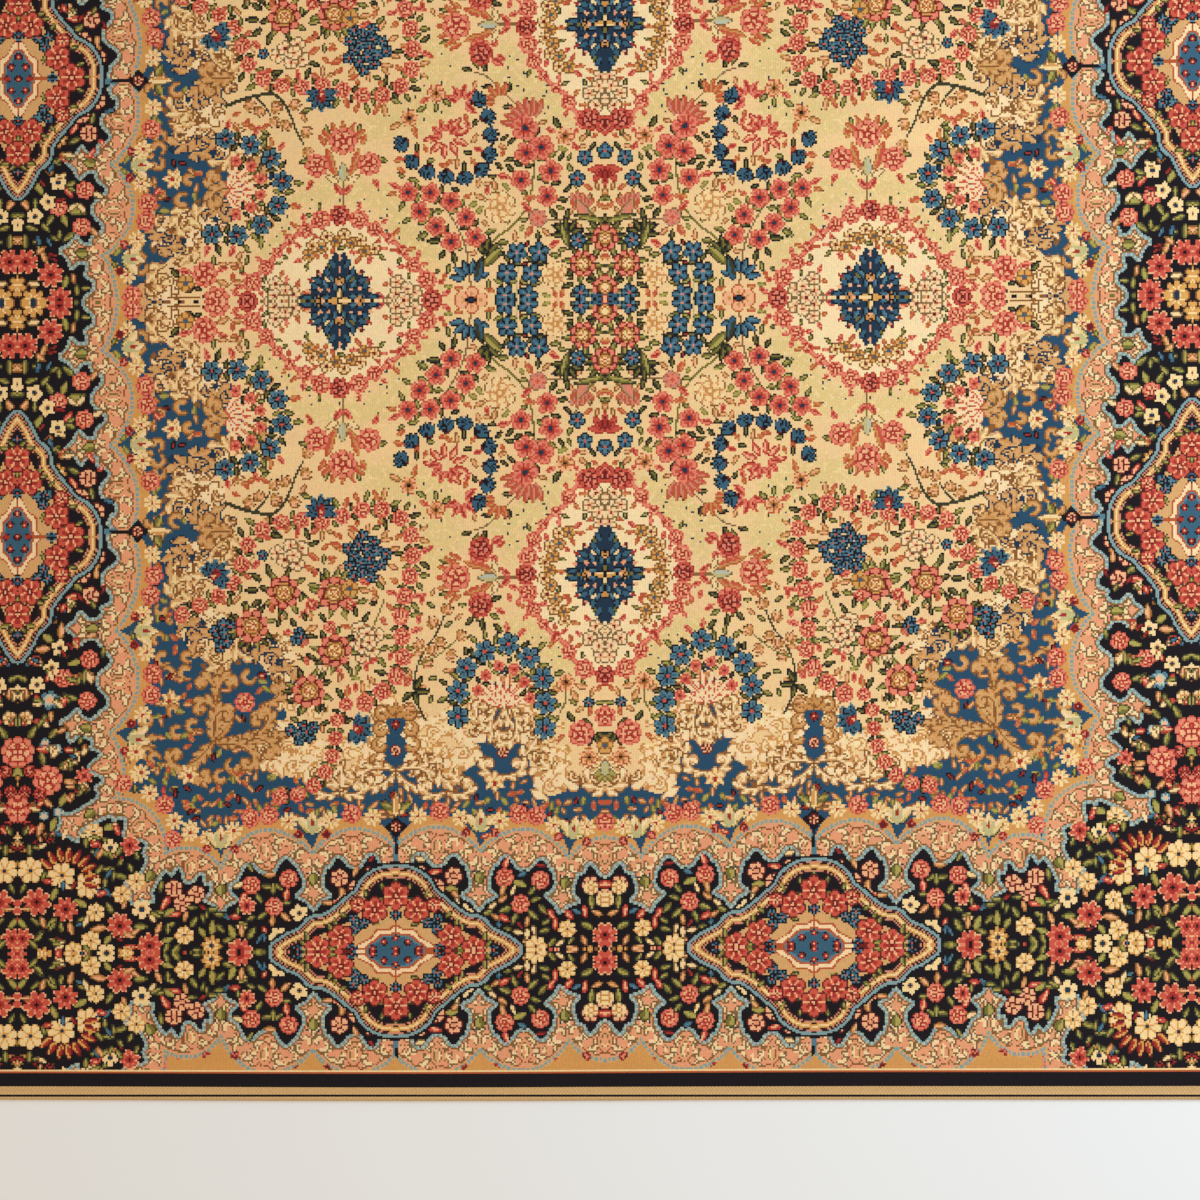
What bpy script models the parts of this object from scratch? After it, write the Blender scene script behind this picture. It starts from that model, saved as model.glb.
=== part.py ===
"""A hand-knotted Persian rug lying flat: one woven body and an overcast cord along each side.

X runs across the rug, Y along its warps and Z up. The origin is under the middle of the rug, on the floor.
The body is a single cloth: the knotted pile, and past each end of it a strip of flat weave.
"""

import math

import bmesh
import bpy

# Driving dimensions, in metres.
KNOT = 0.00175  # one knot, both ways
KNOTS_ACROSS = 828
KNOTS_ALONG = 900
PILE_TOP = 0.008
RIM_TOP = 0.0068  # the outermost knots lean out and stand lower
RIM_RUN = 0.004
FLAT_WEAVE_TOP = 0.0026
FLAT_WEAVE_RUN = 0.014
CORD_RADIUS = 0.0036
CLEARANCE = 0.0003
WAVER = 0.0012  # how far a hand-woven edge strays from straight

# What follows from them.
HALF_WIDTH = KNOT * KNOTS_ACROSS / 2
HALF_PILE = KNOT * KNOTS_ALONG / 2
HALF_LENGTH = HALF_PILE + FLAT_WEAVE_RUN

STATIONS_ACROSS = 16
STATIONS_ALONG = 20
CORD_SIDES_RESOLUTION = 2

COLLECTION_NAME = "persian_rug"


def start_empty():
    """Removes what the scene holds, and gives back a new collection for the rug."""
    for obj in list(bpy.data.objects):
        bpy.data.objects.remove(obj, do_unlink=True)
    collection = bpy.data.collections.new(COLLECTION_NAME)
    bpy.context.scene.collection.children.link(collection)
    return collection


def wool(name, colour, roughness):
    """A plain matt material."""
    material = bpy.data.materials.new(name)
    material.use_nodes = True
    shader = material.node_tree.nodes["Principled BSDF"]
    shader.inputs["Base Color"].default_value = (*colour, 1.0)
    shader.inputs["Roughness"].default_value = roughness
    shader.inputs["Metallic"].default_value = 0.0
    return material


def side_stray(y):
    """How far the right side stands out at y. The left side is the same line turned by half a turn."""
    t = y / HALF_LENGTH
    return WAVER * (0.6 * math.sin(2.6 * t + 0.4) + 0.4 * math.sin(7.3 * t + 1.1))


def end_stray(x):
    """The same for the far end at x; the near end is that line turned by half a turn."""
    t = x / HALF_WIDTH
    return WAVER * (0.7 * math.sin(2.1 * t + 0.9) + 0.3 * math.sin(6.1 * t))


def warped(x, y):
    """Where a point of the straight plan lies in the cloth as woven."""
    side = side_stray(y) if x > 0 else -side_stray(-y)
    end = end_stray(x) if y > 0 else -end_stray(-x)
    return x + side * abs(x) / HALF_WIDTH, y + end * abs(y) / HALF_LENGTH


def even_stations(half, count):
    """Evenly spaced places from -half to half."""
    return [half * (2 * i / count - 1) for i in range(count + 1)]


def stations_across():
    """The body's lines along Y: even ones, and one inside each side where the rim starts."""
    inner = HALF_WIDTH - RIM_RUN
    return [-HALF_WIDTH, *even_stations(inner, STATIONS_ACROSS), HALF_WIDTH]


def stations_along():
    """The body's lines along X: even ones in the pile, then its rim, its foot and the end of the flat weave."""
    inner = HALF_PILE - RIM_RUN
    foot = HALF_PILE + RIM_TOP - FLAT_WEAVE_TOP
    outer = [HALF_PILE, foot, HALF_LENGTH]
    return [-y for y in reversed(outer)] + even_stations(inner, STATIONS_ALONG) + outer


def top_height(x, y):
    """How high the body's upper surface stands: full pile, its lower rim, or the flat weave past its ends."""
    if abs(y) > HALF_PILE + CLEARANCE:
        return FLAT_WEAVE_TOP
    at_rim = max(abs(x) - (HALF_WIDTH - RIM_RUN), abs(y) - (HALF_PILE - RIM_RUN), 0.0) / RIM_RUN
    return PILE_TOP + (RIM_TOP - PILE_TOP) * min(at_rim, 1.0)


def build_body(collection):
    """The cloth: a grid bent to the woven outline, raised to the pile's height over a flat underside."""
    across, along = stations_across(), stations_along()
    bm = bmesh.new()
    cells_across, cells_along = len(across) - 1, len(along) - 1
    bmesh.ops.create_grid(bm, x_segments=cells_across, y_segments=cells_along, size=1.0)
    for vert in bm.verts:
        x = across[round((vert.co.x + 1) / 2 * cells_across)]
        y = along[round((vert.co.y + 1) / 2 * cells_along)]
        vert.co = (*warped(x, y), top_height(x, y))
    under = bmesh.ops.extrude_face_region(bm, geom=bm.faces[:], use_keep_orig=True)
    for element in under["geom"]:
        if isinstance(element, bmesh.types.BMVert):
            element.co.z = 0.0
    bmesh.ops.recalc_face_normals(bm, faces=bm.faces[:])
    mesh = bpy.data.meshes.new("rug")
    bm.to_mesh(mesh)
    bm.free()
    mesh.set_sharp_from_angle(angle=math.radians(30))
    body = bpy.data.objects.new("rug", mesh)
    body.data.materials.append(wool("knotted_wool", (0.62, 0.40, 0.24), 0.95))
    collection.objects.link(body)
    return body


def build_side_cord(collection, name, side, material):
    """The overcast cord along one side: a round cord that follows the body's edge, lying on the floor."""
    data = bpy.data.curves.new(name, "CURVE")
    data.dimensions = "3D"
    data.bevel_depth = CORD_RADIUS
    data.bevel_resolution = CORD_SIDES_RESOLUTION
    data.use_fill_caps = True
    route = data.splines.new("POLY")
    places = stations_along()
    route.points.add(len(places) - 1)
    for point, y in zip(route.points, places):
        edge_x, edge_y = warped(side * HALF_WIDTH, y)
        point.co = (edge_x + side * (CLEARANCE + CORD_RADIUS), edge_y, CORD_RADIUS, 1.0)
    cord = bpy.data.objects.new(name, data)
    cord.data.materials.append(material)
    collection.objects.link(cord)
    return cord


def build_rug():
    """Builds the body and its two side cords."""
    collection = start_empty()
    build_body(collection)
    overcast = wool("overcast_wool", (0.05, 0.05, 0.10), 0.9)
    build_side_cord(collection, "side_cord_left", -1, overcast)
    build_side_cord(collection, "side_cord_right", 1, overcast)


build_rug()
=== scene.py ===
"""A hand-knotted Persian rug: knotted wool body, overcast side cords, and the studio it is shown in.

The design is drawn on chart paper, one square to a knot, as a quarter that is mirrored both ways.
Chart places are in millimetres from the photograph's upper left corner, x to the right and y down.
"""

import math
from functools import partialmethod

import bpy
import numpy as np
from bpy.props import FloatProperty, FloatVectorProperty, PointerProperty
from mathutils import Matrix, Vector


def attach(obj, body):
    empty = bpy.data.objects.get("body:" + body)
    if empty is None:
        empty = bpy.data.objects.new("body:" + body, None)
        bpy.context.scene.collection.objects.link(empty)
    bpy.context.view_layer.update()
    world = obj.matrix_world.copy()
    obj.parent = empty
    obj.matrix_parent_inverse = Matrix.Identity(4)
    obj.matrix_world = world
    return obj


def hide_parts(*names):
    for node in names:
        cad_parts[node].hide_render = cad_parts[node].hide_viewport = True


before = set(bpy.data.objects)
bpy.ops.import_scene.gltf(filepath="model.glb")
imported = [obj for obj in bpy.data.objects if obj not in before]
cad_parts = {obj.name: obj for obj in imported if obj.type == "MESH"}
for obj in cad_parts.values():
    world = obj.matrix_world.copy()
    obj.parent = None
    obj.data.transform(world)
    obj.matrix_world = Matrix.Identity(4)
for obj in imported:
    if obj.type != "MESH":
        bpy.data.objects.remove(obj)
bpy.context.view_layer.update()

bl_info = {
    "name": "Persian Rug",
    "version": (1, 0, 0),
    "blender": (4, 2, 0),
    "location": "3D View > Sidebar > Persian Rug",
    "description": "Weaves a flower-garden rug with overcast side cords",
    "category": "Object",
}


# --- the rug's sizes, in metres, as in the solids ---------------------------
KNOT = 0.00175
KNOTS_ACROSS = 828
KNOTS_ALONG = 900
PILE_TOP = 0.008
RIM_TOP = 0.0068
FLAT_WEAVE_TOP = 0.0026
FLAT_WEAVE_RUN = 0.014
CORD_RADIUS = 0.0036
CLEARANCE = 0.0003
WAVER = 0.0012
HALF_WIDTH = KNOTS_ACROSS * KNOT / 2
HALF_PILE = KNOTS_ALONG * KNOT / 2
HALF_LENGTH = HALF_PILE + FLAT_WEAVE_RUN
SLOPE_FOOT = HALF_PILE + RIM_TOP - FLAT_WEAVE_TOP
# Each face of the mesh carries 3 x 3 knots. Three face attributes name their yarns, one to a row of knots.
QUAD_KNOTS = 3
YARN_LINES = ("yarn_low", "yarn_middle", "yarn_high")
GRAIN_HEIGHT = 0.00006
GRAIN_SEED = 41
WEFT_HEIGHT = 0.00012
WEFT_PITCH = 0.0052
TURN_RINGS = 3  # rings of the cords' mesh to one turn of the wool
CORD_SIDES = 12
CORD_STRIPS = 40  # strips in a baked picture of a cord
CORD_SEED = 7

# How far the weaver's rows lean, rising to the right: chart y and slope.
ROW_LEAN = ((299.0, 0.0067), (530.0, 0.0152), (680.0, 0.0185), (830.0, 0.016), (925.0, 0.011), (1086.0, 0.0))


def row_lean(y):
    """The slope of the knot rows at chart height y, between the noted heights in straight lines."""
    return np.interp(y, [row[0] for row in ROW_LEAN], [row[1] for row in ROW_LEAN])


# --- chart paper ---------------------------------------------------------------
KNOT_MM = 1000 * KNOT
COLUMNS, ROWS = KNOTS_ACROSS // 2, KNOTS_ALONG // 2
BEAD_WIDTH, BEAD_PITCH = 3.4, 4.8
MIDDLE = (605.0, 299.0)

# The dyed yarns as they are seen: red, green and blue of 255.
YARNS = {
    "ivory": (246, 220, 172),
    "pale": (238, 202, 148),
    "khaki": (226, 199, 136),
    "navy": (18, 12, 20),
    "blue": (36, 74, 102),
    "sky": (84, 124, 141),
    "bead": (128, 158, 160),
    "ink": (28, 50, 72),
    "salmon": (228, 156, 116),
    "cream": (243, 213, 167),
    "taupe": (128, 99, 62),
    "gold": (210, 152, 84),
    "crimson": (164, 48, 40),
    "coral": (200, 84, 66),
    "pink": (226, 132, 106),
    "mauve": (206, 134, 112),
    "tan": (200, 142, 80),
    "brown": (138, 88, 42),
    "olive": (116, 108, 48),
    "green": (56, 56, 36),
    "wine": (106, 28, 28),
    "amber": (214, 158, 84),
    "straw": (242, 211, 154),
    "maroon": (46, 22, 24),
    "sage": (192, 182, 128),
    "peach": (238, 176, 132),
    "mist": (184, 190, 172),
    "rust": (178, 86, 46),
    "steel": (54, 94, 117),
    "sand": (212, 164, 108),
    "lime": (170, 158, 82),
    "smoke": (84, 66, 48),
}
YARN_NUMBER = {name: number for number, name in enumerate(YARNS)}


# Fill, outline and shine of curls and scroll leaves.
CREAM_TONES = ("cream", "taupe", "straw")
TAN_TONES = ("tan", "brown", "sand")
SAND_TONES = ("sand", "brown", "ivory")


def dye(yarns, chosen, name):
    """Ties the chosen knots in the named yarn."""
    yarns[chosen] = YARN_NUMBER[name]


def level(points):
    """Places read off the photograph, where the rows rise to the right, put back on straight rows."""
    points = np.array(points, float)
    points[..., 1] -= row_lean(points[..., 1]) * (MIDDLE[0] - points[..., 0])
    return points


class Chart:
    """Chart paper for a quarter of the rug: each knot's yarn, the places of the rows and of the columns."""

    def __init__(self, ground):
        self.x = MIDDLE[0] - (np.arange(COLUMNS) + 0.5) * KNOT_MM
        self.y = MIDDLE[1] + (np.arange(ROWS) + 0.5) * KNOT_MM
        self.yarn = np.full((ROWS, COLUMNS), YARN_NUMBER[ground], np.uint8)

    def window(self, x_low, x_high, y_low, y_high):
        columns = slice(*np.searchsorted(-self.x, (-x_high, -x_low)))
        rows = slice(*np.searchsorted(self.y, (y_low, y_high)))
        return self.x[None, columns], self.y[rows, None], self.yarn[rows, columns]

    def yarn_at(self, x, y):
        x, y = level((x, y))
        column = int((MIDDLE[0] - x) / KNOT_MM)
        row = int((y - MIDDLE[1]) / KNOT_MM)
        return self.yarn[row, column] if 0 <= row < ROWS and 0 <= column < COLUMNS else -1

    def around(self, x, y, reach):
        x, y = level((x, y))
        across, down, yarn = self.window(x - reach, x + reach, y - reach, y + reach)
        return across - x, down - y, yarn

    def inside(self, outline):
        """Knots inside a closed outline: those with an odd number of its edges on their left."""
        points = level(outline)
        nexts = np.roll(points, -1, 0)
        low, high = np.minimum(points[:, 1], nexts[:, 1]), np.maximum(points[:, 1], nexts[:, 1])
        row, edge = np.nonzero((self.y[:, None] >= low) & (self.y[:, None] < high))
        share = (self.y[row] - points[edge, 1]) / (nexts[edge, 1] - points[edge, 1])
        crossing = points[edge, 0] + share * (nexts[edge, 0] - points[edge, 0])
        turns = np.zeros((ROWS, COLUMNS + 1), int)
        np.add.at(turns, (row, np.searchsorted(-self.x, -crossing)), 1)
        return np.cumsum(turns[:, ::-1], 1)[:, ::-1][:, 1:] % 2 == 1

    def fill(self, outline, yarn):
        dye(self.yarn, self.inside(outline), yarn)

    def track(self, points, reach):
        """How far along a path and aside of it each knot near it lies, their yarns and the path's length."""
        points = level(points)
        low, high = points.min(0) - reach, points.max(0) + reach
        x, y, yarn = self.window(low[0], high[0], low[1], high[1])
        along, aside, run = np.zeros(yarn.shape), np.full(yarn.shape, 1e6), 0.0
        for a, b in zip(points[:-1], points[1:]):
            step = b - a
            length = math.hypot(*step)
            if length < 1e-9:
                continue
            near, far = np.minimum(a, b) - reach, np.maximum(a, b) + reach
            columns = slice(*np.searchsorted(-x[0], (-far[0], -near[0])))
            rows = slice(*np.searchsorted(y[:, 0], (near[1], far[1])))
            dx, dy = x[:, columns] - a[0], y[rows] - a[1]
            share = np.clip((dx * step[0] + dy * step[1]) / length**2, 0, 1)
            off = np.hypot(dx - share * step[0], dy - share * step[1])
            side = np.where(step[0] * dy - step[1] * dx < 0, -off, off)
            closer = off < np.abs(aside[rows, columns])
            aside[rows, columns] = np.where(closer, side, aside[rows, columns])
            along[rows, columns] = np.where(closer, run + share * length, along[rows, columns])
            run += length
        return along, aside, yarn, run


def smooth(points, per=5, closed=False):
    """A cubic curve through the points, its slope at each the way from the last point to the next."""
    p = np.asarray(points, float)
    before, after = (p[-1:], p[:2]) if closed else (2 * p[:1] - p[1:2], 2 * p[-1:] - p[-2:-1])
    p = np.concatenate([before, p, after])
    t = (np.arange(per) / per)[None, :, None]
    a, b, c, d = (p[i : len(p) - 3 + i, None, :] for i in range(4))
    curve = 0.5 * (2 * b + (c - a) * t + (2 * a - 5 * b + 4 * c - d) * t**2 + (3 * b - a - 3 * c + d) * t**3)
    curve = curve.reshape(-1, 2)
    return curve if closed else np.concatenate([curve, p[-2:-1]])


def stroke(chart, points, yarn, width, tip=None, bend=True):
    """A line of knots along the points, width at its start and tip at its end."""
    path = smooth(points) if bend and len(points) > 2 else points
    tip = width if tip is None else tip
    along, aside, yarns, run = chart.track(path, max(width, tip) / 2 + 1)
    dye(yarns, np.abs(aside) < (width + (tip - width) * along / max(run, 1e-6)) / 2, yarn)


def polar(dx, dy, turn):
    """Distance from the middle, and angle past a turn given in degrees."""
    return np.hypot(dx, dy), np.arctan2(dy, dx) - math.radians(turn)


def disc(chart, x, y, r, yarn, edge=None):
    """A round spot, outlined if an edge yarn is given."""
    dx, dy, yarns = chart.around(x, y, r + 3)
    d = np.hypot(dx, dy)
    if edge:
        dye(yarns, d < r + 1.6, edge)
    dye(yarns, d < r, yarn)


def blossom(chart, x, y, r, kind, turn):
    """A rosette with streaks, splits, ring and heart: its rim is a power of a cosine over each petal."""
    petals, notch, power, petal, edge, edge_width, split, ring, ring_r, heart, heart_r, *more = BLOSSOMS[kind]
    streak, streak_end, streak_width, split_width = (*more, *(None, 0.7, 1.0, 0.8)[len(more) :])
    dx, dy, yarns = chart.around(x, y, r + 4)
    d, a = polar(dx, dy, turn)
    part = (a * petals / (2 * math.pi)) % 1 - 0.5  # 0 in the middle of a petal
    reach = r * (1 - notch + notch * np.cos(part * math.pi) ** power)
    dye(yarns, d < reach + edge_width, edge)
    dye(yarns, d < reach, petal)
    if streak:
        off = d * np.sin(np.abs(part) * 2 * math.pi / petals)
        dye(yarns, (d < reach * streak_end) & (off < streak_width), streak)
    if split:
        off = d * np.sin((0.5 - np.abs(part)) * 2 * math.pi / petals)
        dye(yarns, (d < reach) & (off < split_width) & (d > 0.3 * r), split)
    if ring:
        dye(yarns, d < r * ring_r, ring)
    dye(yarns, d < max(r * heart_r, 1.0), heart)


# Rosettes: petals, depth of the notches, fullness; petal yarn, edge yarn and its width; the split's yarn;
# ring and heart yarns, each with its share of the radius; streak yarn, its end and width; the split's width.
BLOSSOMS = {
    "yellow_star": (8, 0.42, 0.9, "amber", "brown", 0.9, "straw", "brown", 0.3, "ink", 0.2),
    "coral_star": (8, 0.38, 0.8, "coral", "peach", 0.9, "pink", "crimson", 0.4, "navy", 0.16),
    "ivory_star": (5, 0.38, 0.8, "straw", "navy", 0.6, None, "amber", 0.36, "ink", 0.26),
    "ivory_daisy": (7, 0.3, 0.7, "straw", "amber", 0.8, "amber", "amber", 0.26, "ink", 0.14),
    "pink_button": (6, 0.2, 0.7, "peach", "wine", 1.0, "wine", "wine", 0.42, "salmon", 0.26),
    "iris": (6, 0.4, 0.7, "sky", "navy", 0.6, "mist", "mist", 0.55, "peach", 0.34),
    "cream_daisy": (8, 0.45, 1.0, "straw", "amber", 0.6, "sand", None, 0, "crimson", 0.2),
    "sky_daisy": (6, 0.5, 0.5, "sky", "navy", 1.2, "navy", "navy", 0.26, "coral", 0.18, "steel", 0.8),
    "coral_anemone": (5, 0.34, 0.6, "pink", "coral", 1.2, "crimson", "crimson", 0.34, "ink", 0.22, "coral",
                      0.8, 1.8),
    "red_star": (6, 0.34, 0.6, "coral", "wine", 1.5, "peach", "wine", 0.26, "peach", 0.14, "crimson", 0.7,
                 1.7),
    "small_rose": (5, 0.3, 0.6, "pink", "coral", 1.0, "coral", "crimson", 0.3, "wine", 0.14, "coral", 0.6),
    "orange_star": (6, 0.36, 0.6, "peach", "rust", 1.1, "rust", "brown", 0.32, "navy", 0.2, "tan"),
    "yellow_eye": (5, 0.36, 0.6, "amber", "brown", 1.5, "brown", "brown", 0.4, "steel", 0.26),
    "wine_eye": (5, 0.36, 0.6, "straw", "brown", 1.5, "tan", "tan", 0.42, "wine", 0.3),
    "lace": (5, 0.3, 0.6, "cream", "taupe", 1.75, "tan", "peach", 0.42, "wine", 0.24, None, 0, 0, 0.7),
    "blue_button": (5, 0.34, 0.6, "steel", "navy", 1.3, "navy", None, 0, "coral", 0.22, "sky", 0.9),
    "bell": (5, 0.38, 0.8, "steel", "navy", 1.3, "navy", None, 0, "pink", 0.14, "sky", 0.8, 1.0, 1.0),
    "mauve_rose": (6, 0.15, 0.7, "mauve", "taupe", 0.8, "coral", "pink", 0.5, "coral", 0.24),
    "tan_rose": (6, 0.18, 0.7, "straw", "taupe", 0.8, "tan", "tan", 0.5, "straw", 0.26),
    "red_button": (5, 0.2, 0.7, "wine", "navy", 0.6, "crimson", None, 0, "peach", 0.24),
}


def rose(chart, x, y, r, turn, light, mid, dark, heart, rim=None):
    """A full rose: a ring of petals round a paler inner one, each petal light at its rim and dark between."""
    dx, dy, yarns = chart.around(x, y, r + 4)
    d, a = polar(dx, dy, turn)
    for ring, (size, count, tone) in enumerate(((1.0, 8, light), (0.62, 5, heart))):
        reach = r * size * (0.8 + 0.2 * np.abs(np.cos(count / 2 * a + ring)) ** 0.6)
        side = np.cos(count * a + 2 * ring)
        dye(yarns, d < reach + 1.0, dark if ring else rim or mid)
        dye(yarns, d < reach, tone)
        dye(yarns, (d < reach * 0.78) & (side < 0.3), mid)
        dye(yarns, (d < reach) & (side < -0.76), dark)
    dye(yarns, d < max(r * 0.29, 1.3), dark)
    dye(yarns, d < max(r * 0.13, 1.0), heart)


def lens(dx, dy, angle, length, width):
    """How far along and aside of a leaf each knot lies, and its half width there, a power of a sine."""
    c, s = math.cos(math.radians(angle)), math.sin(math.radians(angle))
    along, aside = dx * c + dy * s, -dx * s + dy * c
    return along, aside, width / 2 * np.sin(math.pi * np.clip(along / length, 0, 1) ** 0.8) ** 0.9


def leaf(chart, x, y, length, angle, width, yarn, edge, rib=None, edge_width=1.2):
    """A leaf from its stalk end at (x, y)."""
    dx, dy, yarns = chart.around(x, y, length + 3)
    along, aside, half = lens(dx, dy, angle, length, width or min(length * 0.36, 5.5))
    on = (along > -0.5) & (along < length + 0.5)
    if edge:
        dye(yarns, on & (np.abs(aside) < half + edge_width), edge)
    dye(yarns, on & (np.abs(aside) < half), yarn)
    if rib:
        dye(yarns, on & (aside < half - 0.4) & (aside > -0.3) & (along > length * 0.15), rib)


def spiral(x, y, r, start, turns, hand, tight):
    """Points of a curl that starts at angle start on radius r and winds in to that radius times tight."""
    t = np.linspace(0, 1, max(int(abs(turns) * 12), 6))
    a = math.radians(start) + hand * t * turns * 2 * math.pi
    rr = r * (1 - (1 - tight) * t)
    return np.stack([x + rr * np.cos(a), y + rr * np.sin(a)], 1)


def frond(chart, points, width, lobe, pitch, hand, tones, slant=0.8, bend=True):
    """A scroll leaf: a stem that thickens towards its round head, its hand side cut into slanting tongues.

    The tongues' length is a power of a sine of the way between two cuts, less at both ends of the leaf.
    """
    fill, edge, shine = tones
    along, aside, yarns, run = chart.track(smooth(points, 6) if bend else points, width / 2 + lobe + 2.5)
    share = along / run
    side = aside * hand if hand else np.abs(aside)
    half = width / 2 * (0.5 + 0.5 * share)
    phase = ((along - slant * side) / pitch) % 1
    tongue = lobe * np.sin(math.pi * share**0.9) ** 0.5 * np.sin(math.pi * phase) ** 0.7
    limit = half + np.where(side > 0, tongue, 0)
    inside = np.abs(side) < limit
    dye(yarns, np.abs(side) < limit + 1.5, edge)
    dye(yarns, inside, fill)
    dye(yarns, inside & (np.abs(phase - 0.62) < 0.17) & (side > half * 0.5), shine)
    dye(yarns, inside & (side < half * 0.4) & (side > -half * 0.5), shine)
    dye(yarns, inside & (phase < 0.15) & (side > half * 0.7), edge)


def comma(chart, x, y, r, start, turn, width, tones=TAN_TONES):
    """A fat curl: an arc of turn degrees that swells to a round head, dark outside and light inside."""
    hand = 1 if turn > 0 else -1
    fill, edge, shine = tones
    arc = spiral(x, y, r, start, abs(turn) / 360, hand, 0.72)
    along, aside, yarns, run = chart.track(arc, width / 2 + 2)
    side = aside * -hand
    half = width / 2 * (0.35 + 0.65 * np.clip(along / run * 1.4, 0, 1) ** 0.7)
    dye(yarns, (side < half + 1.5) & (side > -half - 0.7), edge)
    dye(yarns, np.abs(side) < half, fill)
    dye(yarns, (side > -half * 0.8) & (side < half * 0.1) & (along > 0.25 * run), shine)


def beads(chart, points, gap, line, line_width):
    """A bead line: light beads in a row, parted by knots of the gap yarn, between two fine lines."""
    along, aside, yarns, _ = chart.track(points, BEAD_WIDTH / 2 + line_width + 1)
    off = np.abs(aside)
    dye(yarns, off < BEAD_WIDTH / 2 + line_width, line)
    dye(yarns, off < BEAD_WIDTH / 2, "bead")
    dye(yarns, (off < BEAD_WIDTH / 2) & ((along % BEAD_PITCH) < BEAD_PITCH * 0.36), gap)


# --- sets of flowers and leaves ------------------------------------------------
# Roses: light, middle and dark yarn, heart, and the rim where it is another.
ROSES = {
    "rose": ("pink", "coral", "crimson", "peach"),
    "red_rose": ("coral", "crimson", "wine", "pink"),
    "tea_rose": ("straw", "peach", "tan", "straw", "brown"),
}

# Leaves: width (None for one that suits the length), fill, outline and rib yarns, width of the outline.
LEAVES = {
    "olive": (None, "olive", "green", "lime"),
    "dark": (None, "green", "navy", "olive"),
    "lime": (None, "lime", "olive"),
    "tan": (None, "tan", "brown", "peach"),
    "flame": (None, "amber", "wine", "crimson"),
    "rust": (None, "tan", "rust", "coral"),
    "red": (None, "coral", "crimson", "peach"),
    "wine": (None, "wine", "navy", "crimson"),
    "steel": (None, "steel", "navy", "sky"),
    "rose": (None, "pink", "coral", "crimson"),
    "mauve": (None, "mauve", "rust", "coral"),
    "straw": (None, "straw", "taupe"),
    "blush": (4.4, "cream", "coral", None, 0.8),
    "petal": (5.0, "peach", "brown", None, 0.9),
    "shell": (5.0, "salmon", "taupe", "cream", 0.9),
}


STEM_LEAVES = ("dark", "olive")


def toward(x, y, angle, reach):
    """The place at this distance from (x, y), 0 degrees to the right and 90 down."""
    return x + reach * math.cos(math.radians(angle)), y + reach * math.sin(math.radians(angle))


def bearing(start, end):
    """The angle in degrees at which the end lies from the start."""
    return math.degrees(math.atan2(end[1] - start[1], end[0] - start[0]))


def distances(path):
    """How far along the path each of its points lies."""
    return np.concatenate([[0], np.cumsum(np.hypot(*np.diff(path, axis=0).T))])


def bloom(chart, x, y, r, kind):
    """One flower, turned by a rule of its place so that neighbours differ."""
    turn = (x * 37 + y * 53) % 60
    if kind in ROSES:
        rose(chart, x, y, r, turn, *ROSES[kind])
    elif kind == "double_rose":
        for number in range(8):
            lean = turn + 45 * number
            leaf(chart, *toward(x, y, lean, r - 3), 12, lean + 20, *LEAVES[STEM_LEAVES[number % 2]])
        rose(chart, x, y, r, turn, "pink", "crimson", "wine", "gold", "crimson")
        disc(chart, x, y, r * 0.42, "gold", "brown")
        rose(chart, x, y, r * 0.36, turn, "straw", "gold", "rust", "straw")
    else:
        blossom(chart, x, y, r, kind, turn)
    return x, y, r


def bloom_all(chart, rows):
    """Flowers of one kind and size at each place of a row."""
    return [bloom(chart, x, y, r, kind) for kind, r, *places in rows for x, y in places]


def wreath(chart, kind, r, end, pitch, *points):
    """Flowers evenly along a curve, their radius going from r to end, with two leaves between neighbours."""
    path = smooth(points, 8)
    run = distances(path)
    count = max(round(run[-1] / pitch), 1)
    places = []
    for number in range(2 * count + 1):
        share = number / (2 * count)
        x, y = (np.interp(share * run[-1], run, path[:, axis]) for axis in (0, 1))
        if number % 2 == 0:
            places.append((x, y, r + (end - r) * share))
            continue
        at = min(np.searchsorted(run, share * run[-1]), len(path) - 1)
        lean = bearing(path[at - 1], path[at])
        form = LEAVES[STEM_LEAVES[number // 2 % 2]]
        for side in (-1, 1):
            leaf(chart, *toward(x, y, lean + 90 * side, 1.5), 0.6 * r + 4, lean + 68 * side, *form)
    return [bloom(chart, *place, kind) for place in places]


def cluster(chart, kind, r, count, x, y, wide, high):
    """Flowers packed over an oval.

    Each lies a golden angle (2.4 radians) on from the last, out by the square root of its number.
    """
    places = []
    for number in range(count)[::-1]:
        share = math.sqrt((number + 0.4) / count)
        place = (x + wide * share * math.cos(2.4 * number), y + high * share * math.sin(2.4 * number))
        places.append(bloom(chart, *place, r, kind))
    return places


def lotus(chart, x, y, angle, r, petal, edge, tips, heart, count, spread, width):
    """A fan of petals, each with a tip of another yarn, from a heart at (x, y)."""
    for number in range(count):
        share = number / (count - 1) * 2 - 1
        lean = angle + spread * share
        size = r * (1 - 0.12 * abs(share))
        if tips:
            leaf(chart, *toward(x, y, lean, 0.5 * size), 0.62 * size, lean, width, tips, None)
        leaf(chart, x, y, size * 0.92, lean, width, petal, edge, None, 1.1)
    if heart:
        disc(chart, x, y, r * 0.22, heart)


def tulip(chart, x, y, angle, size):
    """A tulip seen from the side: three petals from the base, small dark tips."""
    for spread, stretch in ((-34, 0.9), (34, 0.9), (0, 1.0)):
        leaf(chart, x, y, size * stretch, angle + spread, size * 0.46, "tan", "brown", "peach", 0.9)
        disc(chart, *toward(x, y, angle + spread * 0.8, size * stretch + 0.6), 0.9, "navy")


def fan(chart, x, y, heading, count, spread, length, start, kind):
    """Leaves that spread evenly from one point, beginning start away from it."""
    for number in range(count):
        lean = heading + spread * (number / max(count - 1, 1) - 0.5)
        leaf(chart, *toward(x, y, lean, start), length, lean, *LEAVES[kind])


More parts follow.
